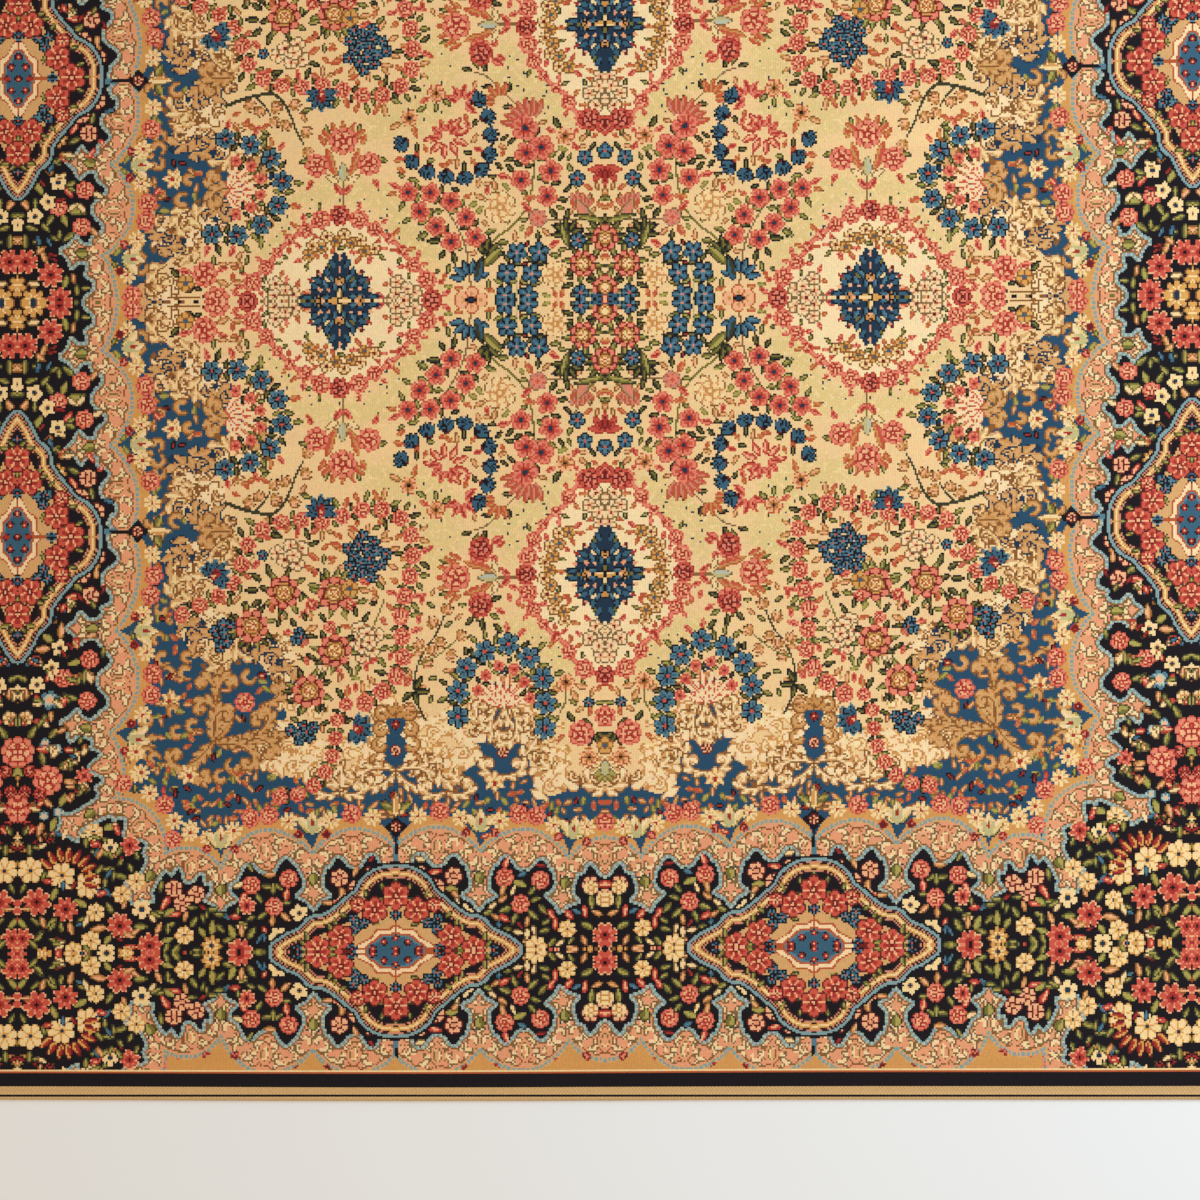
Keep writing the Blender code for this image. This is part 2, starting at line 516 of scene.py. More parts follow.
def leaf_set(chart, x, y, angle, rows):
    """Leaves about a place, on both sides of its angle unless they lie on it.

    A row gives how far its leaf's stalk lies off the angle and off the place, the leaf's length and lean, and
    then what a leaf takes or the kind of leaf.
    """
    for off, reach, length, lean, *form in rows:
        form = LEAVES[form[0]] if form[0] in LEAVES else form
        for side in (-1, 1) if off or lean else (1,):
            leaf(chart, *toward(x, y, angle + side * off, reach), length, angle + side * lean, *form)


def spray(chart, points, yarn, width, tip, count, kind, size):
    """A stem with flowers or leaves along it, set left and right in turn, and one at its tip."""
    stroke(chart, points, yarn, width, tip)
    path = smooth(points, 8)
    for number in range(count):
        at = int((number + 1) / count * (len(path) - 2))
        side = 0 if number == count - 1 else (-1, 1)[number % 2]
        lean = bearing(path[at], path[at + 1]) + 52 * side
        x, y = toward(*path[at], lean, 0.5 * size)
        if kind == "tulip":
            tulip(chart, x, y, lean, size)
        else:
            leaf(chart, x, y, size, lean, *LEAVES[kind])


# --- filling bare ground -------------------------------------------------------
def bare_patches(chart, outline, ground, reach, share, seed, tries):
    """Middles of square patches that hold at least this share of bare ground, found in a seeded order."""
    rng = np.random.default_rng(seed)
    rows, columns = np.nonzero(chart.inside(outline) & (chart.yarn == YARN_NUMBER[ground]))
    steps = int(reach / KNOT_MM)
    for pick in rng.permutation(len(rows))[:tries]:
        row, column = rows[pick], columns[pick]
        patch = chart.yarn[max(row - steps, 0) : row + steps + 1, max(column - steps, 0) : column + steps + 1]
        if (patch == YARN_NUMBER[ground]).mean() >= share:
            yield rng, chart.x[column], chart.y[row]


def fill_gaps(chart, outline, ground, kinds, reach, size, seed, tries=4000):
    """Sets small leaves where the ground still lies bare, as a weaver fills the gaps."""
    for rng, x, y in bare_patches(chart, outline, ground, reach, 1, seed, tries):
        angle, length = rng.uniform(0, 360), size * rng.uniform(0.85, 1.2)
        kind = kinds[rng.integers(len(kinds))]
        leaf(chart, *toward(x, y, angle, -0.5 * length), length, angle, *LEAVES[kind])


def fill_blooms(chart, outline, ground, kinds, reach, size, seed):
    """Sets flowers where a square patch of the ground lies bare."""
    for rng, x, y in bare_patches(chart, outline, ground, reach, 0.97, seed, 1500):
        kind = kinds[rng.integers(len(kinds))]
        blossom(chart, x, y, size * rng.uniform(0.85, 1.1), kind, rng.uniform(0, 60))


def fill_curls(chart, outline, ground, reach, r, seed):
    """Sets fat tan curls where most of a patch of the ground lies bare."""
    for rng, x, y in bare_patches(chart, outline, ground, reach, 0.93, seed, 3000):
        turn = 235 * (-1, 1)[rng.integers(2)]
        comma(chart, x, y, r * rng.uniform(0.8, 1.15), rng.uniform(0, 360), turn, 0.8 * r)


def sprigs(chart, places, kinds, seed, count, length, grounds=("pale", "khaki", "straw")):
    """Leaves round each flower, wherever the ground beside it is bare all along the leaf."""
    rng = np.random.default_rng(seed)
    numbers = [YARN_NUMBER[name] for name in grounds]
    for x, y, r in places:
        first = rng.uniform(0, 360)
        for number in range(count):
            angle = first + number * 360 / count + rng.uniform(-14, 14)
            size = length * rng.uniform(0.8, 1.2)
            kind = kinds[rng.integers(len(kinds))]
            reaches = [r + 1 + share * size for share in (0.25, 0.7, 1.15)]
            spots = [toward(x, y, angle + aside, reach) for reach in reaches for aside in (-6, 6)]
            if all(chart.yarn_at(*spot) in numbers for spot in spots):
                leaf(chart, *toward(x, y, angle, r + 1.5), size, angle, *LEAVES[kind])


# --- zones ---------------------------------------------------------------------
BORDER_MIDDLE = (18.0, 948.0)
EDGE_X = MIDDLE[0] - COLUMNS * KNOT_MM
EDGE_Y = MIDDLE[1] + ROWS * KNOT_MM
# Outlines are closed beyond the mirror lines: to the right of the long one, above the short one.
FAR = 700.0
ABOVE = 200.0

# Scallops of the guard: where they meet, the tip that points outwards there, how far the next one swells.
SCALLOPS = (
    # x, y, tip_x, tip_y, swell, crossing
    (103.0, 247.0, 60.0, 241.0, 15.0, False),
    (103.0, 351.0, 60.0, 357.0, 26.0, False),
    (111.0, 446.0, 66.0, 449.0, 16.0, False),
    (131.0, 531.0, 113.0, 529.0, 15.0, True),
    (115.5, 630.0, 66.0, 628.0, 26.0, False),
    (109.0, 733.0, 60.0, 722.0, 11.0, False),
    (115.5, 798.0, 57.0, 834.0, 18.0, False),
    (165.0, 854.0, 132.0, 903.0, 13.0, False),
    (221.0, 868.0, 221.0, 913.0, 31.0, False),
    (313.0, 853.0, 314.0, 909.0, 22.0, False),
    (395.5, 847.0, 395.5, 868.0, 23.0, True),
    (480.0, 851.0, 479.0, 909.0, 26.0, False),
    (569.0, 858.0, 560.0, 912.0, 21.0, False),
    (641.0, 858.0, 650.0, 912.0, 30.0, False),
)
SPANS = tuple(zip(SCALLOPS[:-1], SCALLOPS[1:]))

# Where the blue ground gives way to the light scrolls: left side, corner, bottom.
SCROLL_EDGE = (
    (148, 280), (144, 314), (152, 326), (174, 354), (160, 362), (160, 391), (176, 390), (214, 402),
    (250, 420), (236, 428), (206, 453), (176, 467), (172, 478), (176, 515), (212, 522), (232, 531),
    (212, 540), (170, 548), (168, 562), (174, 580), (176, 620), (184, 640), (198, 655), (218, 664),
    (232, 658), (246, 656), (262, 664), (280, 700), (286, 716), (276, 732), (262, 748), (264, 762),
    (274, 774), (300, 777), (330, 783), (376, 776), (384, 762), (388, 728), (396, 716), (404, 728),
    (408, 762), (414, 776), (454, 779), (464, 768), (478, 740), (490, 722), (504, 692), (516, 722),
    (526, 740), (532, 776), (546, 794), (562, 792), (574, 784), (605, 786),
)


def along_chord(a, b, places):
    """Places given along the line between two scallop meets and off it towards the field."""
    dx, dy, length = b[0] - a[0], b[1] - a[1], math.dist(a[:2], b[:2])
    return [(a[0] + (s * dx + t * dy) / length, a[1] + (s * dy - t * dx) / length) for s, t in places]


def on_arc(a, b, share, beyond=0.0, power=0.75):
    """A place on a scallop's arc, or beyond it towards the field; the arc rises as a sine to a power."""
    rise = a[4] * math.sin(math.pi * share) ** power + beyond
    return along_chord(a, b, [(share * math.dist(a[:2], b[:2]), rise)])[0]


def scallop_arcs(lift=0.0, swell=0.0, power=0.75):
    """The scallops' field-side line, or one lifted and swollen past it."""
    points = []
    for a, b in SPANS:
        raised = (*a[:4], a[4] + swell)
        points += [on_arc(raised, b, share, lift, power) for share in np.linspace(0, 1, 15)]
    return points


def pocket_hook(meet, other):
    """The tip that points outwards at a meet and the hook beside it, on the side of the other meet."""
    tip, inward = np.array(meet[2:4]), np.subtract(meet[:2], meet[2:4])
    reach, length = math.hypot(*inward), math.dist(meet[:2], other[:2])
    inward /= reach
    aside = inward[::-1] * (-1, 1)
    aside *= math.copysign(1, aside @ np.subtract(other[:2], meet[:2]))
    open_hook = ((7, 8), (17, 14), (11, 20), (9.5, 29), (0.16 * length, reach - 14))
    turns = ((5, -5), (14, -2)) if meet[5] else open_hook
    return [tuple(tip), *(tuple(tip + aside * along + inward * out) for along, out in turns)]


def scallop_pockets():
    """The scallops' border-side line: tips, hooks and the double hollow of each pocket."""
    half = ((0.2, -6), (0.245, 0.5), (0.3, 3), (0.36, 0), (0.41, -6), (0.47, -9.5))
    points = []
    for a, b in SPANS:
        length, dip = math.dist(a[:2], b[:2]), 0.55 * a[4] - 19.5
        hollow = [(share * length, dip + rise) for share, rise in half]
        hollow += [((1 - share) * length, dip + rise) for share, rise in half[::-1]]
        points += [*pocket_hook(a, b), *along_chord(a, b, hollow), *pocket_hook(b, a)[:0:-1]]
    points.append(SCALLOPS[-1][2:4])
    return smooth(points, 3)


def field_side(line):
    """Closes a line that runs from the left of the short mirror line to the long one round the field."""
    return [*line, (FAR, line[-1][1]), (FAR, ABOVE), (line[0][0], ABOVE)]


def draw_zones(chart):
    """The grounds, one inside the other: salmon band, gold guard, blue pockets, pale field."""
    chart.fill(field_side(scallop_pockets()), "salmon")
    chart.fill(field_side(scallop_arcs()), "gold")
    chart.fill(field_side(scallop_arcs(4.5, 8.5, 0.6)), "blue")
    chart.fill([*smooth(SCROLL_EDGE, 3), (FAR, ABOVE), (SCROLL_EDGE[0][0], ABOVE)], "pale")


# --- salmon band and gold guard ------------------------------------------------
# The band's commas on either side of a swelling's middle: share of the way off it, depth, radius.
BAND_COMMAS = (
    (0.09, 11, 5.6), (0.19, 12, 5.4), (0.29, 13, 5.2), (0.38, 14, 4.8), (0.24, 24, 4.6), (0.46, 22, 4.4),
    (0.47, 33, 4.4), (0.35, 30, 4.0), (0.07, 27, 4.2), (0.12, 20, 4.2),
)


def draw_band(chart):
    """The salmon band between its bead lines.

    Cream comma leaves run both ways from a tongue in each swelling, inside a brown line.
    """
    ground = chart.yarn.copy()
    pockets = scallop_pockets()
    beyond = ~chart.inside(field_side(pockets)) | chart.inside(field_side(scallop_arcs()))
    for a, b in SPANS:
        up = math.degrees(math.atan2(-(b[0] - a[0]), b[1] - a[1]))
        for side in (-1, 1):
            shares = np.linspace(0.02, 0.46, 12)
            line = [on_arc(a, b, 0.5 + side * share, -6 - 2 * math.sin(40 * share)) for share in shares]
            stroke(chart, line, "brown", 1.4)
            for share, down, r in BAND_COMMAS:
                start = up + 30 * side + 180 * (share * 10 % 2 > 1)
                place = on_arc(a, b, 0.5 + side * share, -down)
                comma(chart, *place, r, start, side * 170, 3.4, CREAM_TONES)
        base = on_arc(a, b, 0.5, -8)
        leaf(chart, *base, 25, up + 180, 15, "salmon", "brown", None, 1.0)
        leaf(chart, *toward(*base, up, -5), 14, up + 180, 7, "straw", "olive", "salmon")
    for x, y, tip_x, tip_y, _, crossing in SCALLOPS:
        if not crossing:
            lean = bearing((x, y), (tip_x, tip_y))
            bud = toward(x, y, lean, 0.34 * math.dist((x, y), (tip_x, tip_y)))
            for side in (-1, 1):
                disc(chart, *toward(*bud, lean + 90 * side, 6), 1.3, "ink")
                root = toward(*toward(x, y, lean, 8), lean + 90 * side, 7)
                comma(chart, *root, 4.4, lean + 60 * side, -side * 170, 3.4, CREAM_TONES)
                for off, reach, r, turn, width in ((30, 19, 3.8, 170, 3.2), (12, 28, 2.8, 150, 2.6)):
                    place = toward(*bud, lean + off * side, reach)
                    comma(chart, *place, r, lean + 200, side * turn, width, CREAM_TONES)
            leaf(chart, *bud, 13, lean, 9, "olive", "green", "lime", 1.6)
    fill_gaps(chart, field_side(pockets), "salmon", ("petal", "shell", "petal", "straw"), 3.9, 9.0, 6, 9000)
    chart.yarn[beyond] = ground[beyond]
    stroke(chart, pockets, "brown", 6.6)
    dye(chart.yarn, beyond & (ground == YARN_NUMBER["navy"]), "navy")
    beads(chart, pockets, "mist", "bead", 0.0)
    beads(chart, scallop_arcs(), "sand", "sand", 0.8)


# A small trumpet flower: a leaf on either side, three cream petals, a sage cup, a crimson heart.
PALMETTE_LEAVES = (
    (62, 3, 14, 42, 5, "lime", "ink", "straw"), (30, 9, 15, 45, 8.5, "khaki", "brown", "cream", 1.0),
    (0, 9, 15, 0, 8.5, "khaki", "brown", "cream", 1.0), (17, 0, 18, 17, 5.5, "sage", None),
    (0, 0, 18, 0, 5.5, "sage", None), (0, 8, 8, 0, 3.6, "crimson", None),
)
# The flower on a dark cross: the cross, amber petals with olive tips, a straw spike.
CROSSING_LEAVES = (
    (0, 0, 11, 0, 8, "navy", "navy", None, 0.8), (0, 0, 11, 90, 8, "navy", "navy", None, 0.8),
    (0, 0, 11, 180, 8, "navy", "navy", None, 0.8), (0, 12, 17, 40, 9, "amber", "brown", "straw"),
    (12, 18, 13, 62, 7, "olive", "green", "lime"), (0, 10, 24, 0, 7, "straw", "taupe", "gold"),
)


def crossing_flower(chart, x, y, angle):
    """The dark cross on the border's axis, where cartouche and guard meet."""
    stroke(chart, [toward(x, y, angle, -34), (x, y)], "sky", 5.0, 2.0, bend=False)
    stroke(chart, [toward(x, y, angle, -26), (x, y)], "navy", 3.4, 3.0, bend=False)
    leaf_set(chart, x, y, angle, CROSSING_LEAVES)
    blossom(chart, x, y, 4.6, "pink_button", 0)


def draw_guard(chart):
    """The gold guard: a trumpet flower with two buds on each meet, daisies and roses along each swelling."""
    places = []
    for a, b in SPANS:
        length = math.dist(a[:2], b[:2])
        corner = a[1] > 780 and a[0] < 170  # the two meets where the border turns
        if not a[5] and not corner:
            lean = bearing(a[2:4], a[:2])
            leaf_set(chart, *toward(*a[:2], lean, 19), lean, PALMETTE_LEAVES)
            buds = [toward(*a[:2], lean + side * 36, 24) for side in (-1, 1)]
            places += [bloom(chart, *bud, 3.8, "red_rose") for bud in buds]
        if corner:
            places.append(bloom(chart, *toward(*a[:2], -62, 17), 8.5, "rose"))
            places.append(bloom(chart, *toward(*a[:2], -45, 36), 9, "cream_daisy"))
        count = 2 if length < 70 else 3 if length < 88 else 4
        for number in range(count):
            share = (number + 1) / (count + 1)
            kind = "cream_daisy" if number in (0, count - 1) else "rose"
            places.append(bloom(chart, *on_arc(a, b, share, 15), 9, kind))
    crossing_flower(chart, 138, 531.5, 0)
    crossing_flower(chart, 396, 826, -90)
    sprigs(chart, places, ("lime", "olive", "lime", "tan", "red"), 21, 7, 9.0, ("gold", "blue"))


# --- navy border ---------------------------------------------------------------
# Half of a cartouche's outline: along the border from its middle, and towards the field.
CARTOUCHE = ((0, 76), (14, 74), (27, 66), (34, 54), (44, 46), (56, 36), (70, 27), (82, 25), (92, 15),
             (106, 8), (118, 0))
# One quarter of a cartouche's flowers and leaves, mirrored both ways: along, out and radius; then along, out,
# length and lean.
CARTOUCHE_BLOOMS = (
    ("sky_daisy", (44, 0, 5), (0, 34, 5), (98, 0, 4)),
    ("blue_button", (41, 20, 5), (32, 26, 5), (42, 30, 5)),
    ("red_star", (78, 0, 12.5), (55, 12, 12.5), (21, 39, 12.5), (0, 53, 13.5), (38, 44, 7)),
    ("red_button", (23, 0, 3.6), (12, 7, 3.4), (0, 11, 3.2), (0, 0, 3.2)),
)
CARTOUCHE_LEAVES = (
    (88, 8, 10, 80), (90, 2, 9, 50), (67, 4, 10, 120), (64, 17, 9, 70), (72, 0, 13, 180), (46, 12, 9, 150),
    (60, 23, 8, 80), (30, 52, 8, 80), (34, 47, 8, 50), (12, 58, 8, 70), (24, 27, 9, 200), (50, 32, 8, 40),
    (0, 66, 6, 90), (8, 38, 8, -20), (10, 48, 7, 20),
)


# Lines along both halves of a cartouche's outline: a dark bed and beads outside its ground, a rim upon it.
CARTOUCHE_OUTSIDE = ((23, "navy"), (18, "bead"))
CARTOUCHE_RIM = ((12, "maroon"), (9.4, "mauve"), (7.4, "maroon"), (5.4, "gold"), (1.7, "straw"))
# The rounded lozenges in its middle: half length and width, power, depth of the ripples and yarn.
CARTOUCHE_PANELS = ((93, 47, 1.2, 0.04, "sand"), (39, 23, 1.5, 0.08, "rust"), (37, 21, 1.5, 0.08, "cream"))
CARTOUCHE_HEART = ((30, 17, 1.7, 0.05, "rust"), (27.5, 14.5, 1.7, 0.05, "sky"), (27, 14, 1.2, 0.0, "steel"))


def draw_cartouche(chart, x, y, across):
    """A cartouche lying along the border at (x, y); across is True where the border runs left to right."""
    def place(along, out):
        return (x + along, y - out) if across else (x + out, y + along)

    def lozenge(long, wide, power, ripple, yarn):
        """A lozenge with eight ripples: along and out shares, each to a power, add up to one at its rim."""
        turns = np.linspace(0, 2 * math.pi, 73)[:-1]
        c, s = np.cos(turns), np.sin(turns)
        reach = ((abs(c) / long) ** power + (abs(s) / wide) ** power) ** (-1 / power)
        reach *= 1 + ripple * np.cos(8 * turns)
        chart.fill([place(*point) for point in zip(reach * c, reach * s)], yarn)

    quarter = smooth(CARTOUCHE, 4)
    upper = [*(quarter * (-1, 1))[::-1], *quarter[1:]]
    halves = [[place(along, side * out) for along, out in upper] for side in (1, -1)]
    for lines in (CARTOUCHE_OUTSIDE, CARTOUCHE_RIM):
        for width, yarn in lines:
            for half in halves:
                stroke(chart, half, yarn, width, bend=False)
        if lines is CARTOUCHE_OUTSIDE:
            chart.fill([*halves[0], *halves[1][::-1]], "navy")
    for panel in CARTOUCHE_PANELS:
        lozenge(*panel)
    for side in (-1, 1):
        stroke(chart, [place(side * 52, 0), place(side * 31, 0)], "rust", 2.2)
        stroke(chart, [place(0, side * 32), place(0, side * 16)], "rust", 2.2)
    for panel in CARTOUCHE_HEART:
        lozenge(*panel)
    for mirror in (1, -1):
        for side in (1, -1):
            for along, out, length, lean in CARTOUCHE_LEAVES:
                step = (math.cos(math.radians(lean)), math.sin(math.radians(lean)))
                tip = place(mirror * (along + step[0]), side * (out + step[1]))
                base = place(mirror * along, side * out)
                leaf(chart, *base, length, bearing(base, tip), *LEAVES["olive"])
            for kind, *rows in CARTOUCHE_BLOOMS:
                for along, out, r in rows:
                    blossom(chart, *place(mirror * along, side * out), r, kind, along * 3)


# The border's set flowers: kind, radius, places.
BORDER_BLOOMS = (
    ("yellow_star", 12.5, (34, 305), (14, 321), (14, 289)),
    ("yellow_star", 10, (10, 780), (590, 955), (212, 945)),
    ("coral_star", 12.5, (60, 306), (51, 332), (26, 346), (2, 346), (66, 909), (120, 925), (150, 945),
     (605, 935), (240, 950)),
    ("coral_star", 14, (37, 902), (9, 907)),
    ("ivory_star", 8.5, (16, 385), (35, 393), (48, 408), (58, 428), (1, 394), (60, 648), (52, 668),
     (37, 685), (18, 693), (1, 685)),
    ("ivory_daisy", 13, (31, 870), (62, 875), (88, 885), (4, 877)),
    ("ivory_daisy", 9, (137, 881), (96, 912), (122, 894), (94, 832), (185, 935)),
    ("rose", 14.5, (20, 752), (48, 780), (15, 809)),
    ("red_rose", 5.5, (30, 771), (25, 792), (8, 760), (40, 794)),
    ("iris", 10, (50, 700)), ("iris", 5.2, (45, 743), (58, 749), (44, 816), (58, 812)),
    ("tan_rose", 7, (26, 718), (591, 887), (603, 899)),
)
# The pockets whose flowers are roses rather than pink buttons, and those that stay bare.
ROSE_POCKETS = (1, 4, 8, 11)


BARE_POCKETS = (0, 5, 6)


def draw_border(chart):
    """The navy border: three flowers in each pocket, set flowers between the cartouches, leaves round all."""
    places = []
    for number, (a, b) in enumerate(SPANS):
        kind, depth = ("rose", 63) if number in ROSE_POCKETS else ("pink_button", 50)
        if number not in BARE_POCKETS:
            for share, down in ((0.3, 38), (0.7, 38), (0.5, depth)):
                place = on_arc((*a[:4], 0), b, share, 0.55 * a[4] - down)
                places.append(bloom(chart, *place, 8.5, kind))
    places += bloom_all(chart, BORDER_BLOOMS)
    fan(chart, 66, 880, -65, 9, 150, 16, 18, "flame")
    sprigs(chart, places, ("olive", "lime", "olive", "tan", "red"), 31, 6, 12.5, ("navy",))
    border = ((-20, 250), (70, 250), (112, 350), (112, 790), (160, 850), (606, 850), (606, 962), (-20, 962))
    kinds = ("coral_star", "ivory_daisy", "yellow_star", "coral_star", "ivory_star")
    fill_blooms(chart, border, "navy", kinds, 9.5, 9.5, 5)
    kinds = ("olive", "straw", "olive", "tan", "wine", "red", "steel")
    fill_gaps(chart, border, "navy", kinds, 4.0, 10.0, 77, 20000)
    draw_cartouche(chart, 18, 537, False)
    draw_cartouche(chart, 396, 948, True)


def mirror_border(chart):
    """The border's outer half repeats its inner half, as far as the scallops.

    Beyond it lie plain gold and a plain dark edge. A mark added to the yarn numbers inside the scallops' line
    is carried along by the mirroring.
    """
    mark = len(YARNS)
    x, y = chart.x[None, :], chart.y[:, None]
    chart.yarn[chart.inside(field_side(scallop_arcs(2.0, 4.0))) & ((x < 155) | (y > 800))] += mark
    beyond = np.nonzero(chart.x < BORDER_MIDDLE[0])[0]
    chart.yarn[:, beyond] = chart.yarn[:, np.abs(x.T - (2 * BORDER_MIDDLE[0] - chart.x[beyond])).argmin(0)]
    below = np.nonzero(chart.y > BORDER_MIDDLE[1])[0]
    chart.yarn[below] = chart.yarn[np.abs(y - (2 * BORDER_MIDDLE[1] - chart.y[below])).argmin(0)]
    outside = (x < BORDER_MIDDLE[0]) | (y > BORDER_MIDDLE[1])
    marked = chart.yarn >= mark
    dye(chart.yarn, marked & outside, "gold")
    chart.yarn[marked & ~outside] -= mark
    for depth, yarn in ((17.5, "straw"), (15.7, "rust"), (14.0, "navy")):
        dye(chart.yarn, (x < EDGE_X + depth) | (y > EDGE_Y - depth), yarn)


# --- the field: clouds and scrolls ---------------------------------------------
# The outlines of the greenish clouds.
CLOUDS = (
    ((392, 345), (412, 338), (432, 334), (446, 348), (438, 362), (424, 372), (414, 386), (402, 400),
     (394, 416), (380, 424), (356, 420), (330, 424), (306, 420), (288, 412), (284, 400), (300, 398),
     (330, 402), (366, 396), (384, 384), (392, 364)),
    ((262, 338), (284, 344), (292, 360), (294, 380), (290, 396), (284, 386), (272, 370), (258, 352)),
    ((362, 470), (384, 462), (402, 470), (424, 470), (448, 482), (456, 500), (454, 516), (462, 530),
     (462, 548), (448, 564), (436, 572), (424, 560), (418, 540), (424, 520), (412, 504), (392, 500),
     (372, 494)),
    ((486, 520), (500, 512), (520, 502), (536, 488), (552, 476), (566, 470), (574, 480), (568, 498),
     (556, 514), (540, 526), (522, 536), (516, 552), (508, 566), (502, 556), (500, 540), (488, 532)),
    ((494, 622), (516, 618), (540, 622), (556, 630), (566, 648), (576, 664), (572, 680), (562, 690),
     (552, 672), (538, 652), (520, 640), (500, 634)),
)


def draw_clouds(chart):
    """Greenish clouds on the field.

    Their rims are ragged by a seeded stray of up to four knots. The faint lines on them are the zeros of a
    product of two sines, each bent by a sine of the other direction.
    """
    for cloud in CLOUDS:
        chart.fill(smooth(cloud, 4, closed=True), "khaki")
    pale, khaki = YARN_NUMBER["pale"], YARN_NUMBER["khaki"]
    rng = np.random.default_rng(8)
    rows, columns = np.indices(chart.yarn.shape)
    stray = rng.integers(-4, 5, (2, ROWS, COLUMNS))
    other = chart.yarn[(rows + stray[0]).clip(0, ROWS - 1), (columns + stray[1]).clip(0, COLUMNS - 1)]
    ground = np.isin(chart.yarn, (pale, khaki)) & np.isin(other, (pale, khaki))
    chart.yarn[ground] = other[ground]
    x, y = chart.x[None, :], chart.y[:, None]
    swirl = np.sin(x * 0.21 + 2.4 * np.sin(y * 0.13)) * np.sin(y * 0.21 + 2.4 * np.sin(x * 0.13))
    dye(chart.yarn, (chart.yarn == khaki) & (np.abs(swirl) < 0.07), "straw")
    for cloud in CLOUDS:
        rim = np.array(cloud, float)
        middle = rim.mean(0)
        for number, point in enumerate(rim):
            disc(chart, *(middle + (point - middle) * (0.55 + 0.2 * math.sin(5 * number))), 1.2, "ink")


def scroll(chart, x, y, heading, length, hand, tones):
    """A scroll leaf that runs out, arches over and curls up: its heading turns by the cube of the way."""
    share = np.linspace(0, 1, 26)
    turn = np.radians(heading + hand * (-28 + 60 * share + 330 * share**3))
    step = length / 25 * (1.15 - 0.75 * share**2)
    points = np.stack([x + np.cumsum(step * np.cos(turn)), y + np.cumsum(step * np.sin(turn))], 1)
    frond(chart, points, 4.6, 4.6, 8.5, -hand, tones, bend=False)


# Scrolls on the blue ground: root, then heading, length and hand of each.
ARABESQUES = (
    ((214, 742), (-100, 74, -1), (-76, 62, 1), (-16, 98, -1), (22, 78, 1), (116, 68, -1), (150, 82, 1)),
    ((216, 700), (-116, 44, -1), (-62, 46, 1)), ((254, 736), (-58, 50, -1), (34, 44, 1)),
    ((264, 704), (-40, 40, -1)),
    ((242, 420), (172, 58, -1), (200, 60, 1)),
    ((234, 531), (192, 54, 1), (168, 54, -1)),
    ((396, 770), (28, 56, -1), (152, 56, 1), (8, 60, 1), (172, 60, -1)),
    ((504, 694), (116, 64, 1), (64, 64, -1), (98, 84, -1), (82, 84, 1)),
    ((503, 776), (-30, 40, -1), (210, 40, 1)),
    ((340, 792), (190, 44, 1), (-8, 40, -1)), ((446, 792), (188, 40, 1), (-10, 44, -1)),
)


# Tones of the scroll leaves in turn: the inner row at the side and at the bottom, then the outer row.
SCROLL_TONES = (
    (SAND_TONES, ("cream", "brown", "ivory")),
    (("cream", "gold", "ivory"), ("straw", "tan", "ivory")),
    (("tan", "ink", "sand"), ("sand", "brown", "straw")),
    (SAND_TONES, ("cream", "tan", "ivory")),
)


def light_scrolls(chart):
    """Two rows of curled scroll leaves inside the scroll edge, light near the field and tan near the edge."""
    path = smooth(SCROLL_EDGE, 4)
    run = distances(path)
    for row, (inward, pitch, r) in enumerate(((27.0, 27.0, 14.0), (9.0, 24.0, 14.0))):
        for number, s in enumerate(np.arange(pitch * (0.3 + 0.35 * row), run[-1], pitch)):
            at = min(np.searchsorted(run, s), len(path) - 1) - 1
            heading = bearing(path[at], path[at + 1])
            x, y = toward(*path[at], heading - 90, inward)
            tones = SCROLL_TONES[2 * row + (y > 690)]
            hand = 1 if (number + row) % 2 else -1
            start = heading + 90 * hand + 50 * math.sin(5 * number + row)
            curl = spiral(x, y, r, start, 0.62, hand, 0.3)
            frond(chart, curl, 4.4, 8.0, 9.5, -hand, tones[number // 2 % 2], 0.7, False)
            curl = spiral(x, y, r * 0.45, start + 140, 0.5, -hand, 0.4)
            frond(chart, curl, 3.4, 0.0, 9.0, hand, tones[(number + 1) // 2 % 2], 0.7, False)


# The blue ground's outline, and half the blue spear that stands on the bottom axis: half width and height.
BLUE_GROUND = (
    (140, 250), (250, 250), (250, 540), (180, 560), (180, 600), (290, 650), (292, 770), (606, 770),
    (606, 830), (200, 830), (140, 760),
)
BLUE_SPEAR = ((0, 700), (4, 712), (10, 722), (5, 734), (13, 746), (8, 760), (14, 770), (8, 780))
# Two stems of the corner's arabesque, and the flowers on the blue ground: kind, radius, places.
BLUE_STEMS = (((214, 742), (216, 716), (216, 690), (222, 668)),
              ((214, 740), (236, 740), (258, 734), (284, 734)))
BLUE_BLOOMS = (
    ("rose", 9.5, (245, 702)), ("red_button", 4.5, (262, 676), (396, 724)),
    ("pink_button", 5, (396, 750), (503, 752)),
)


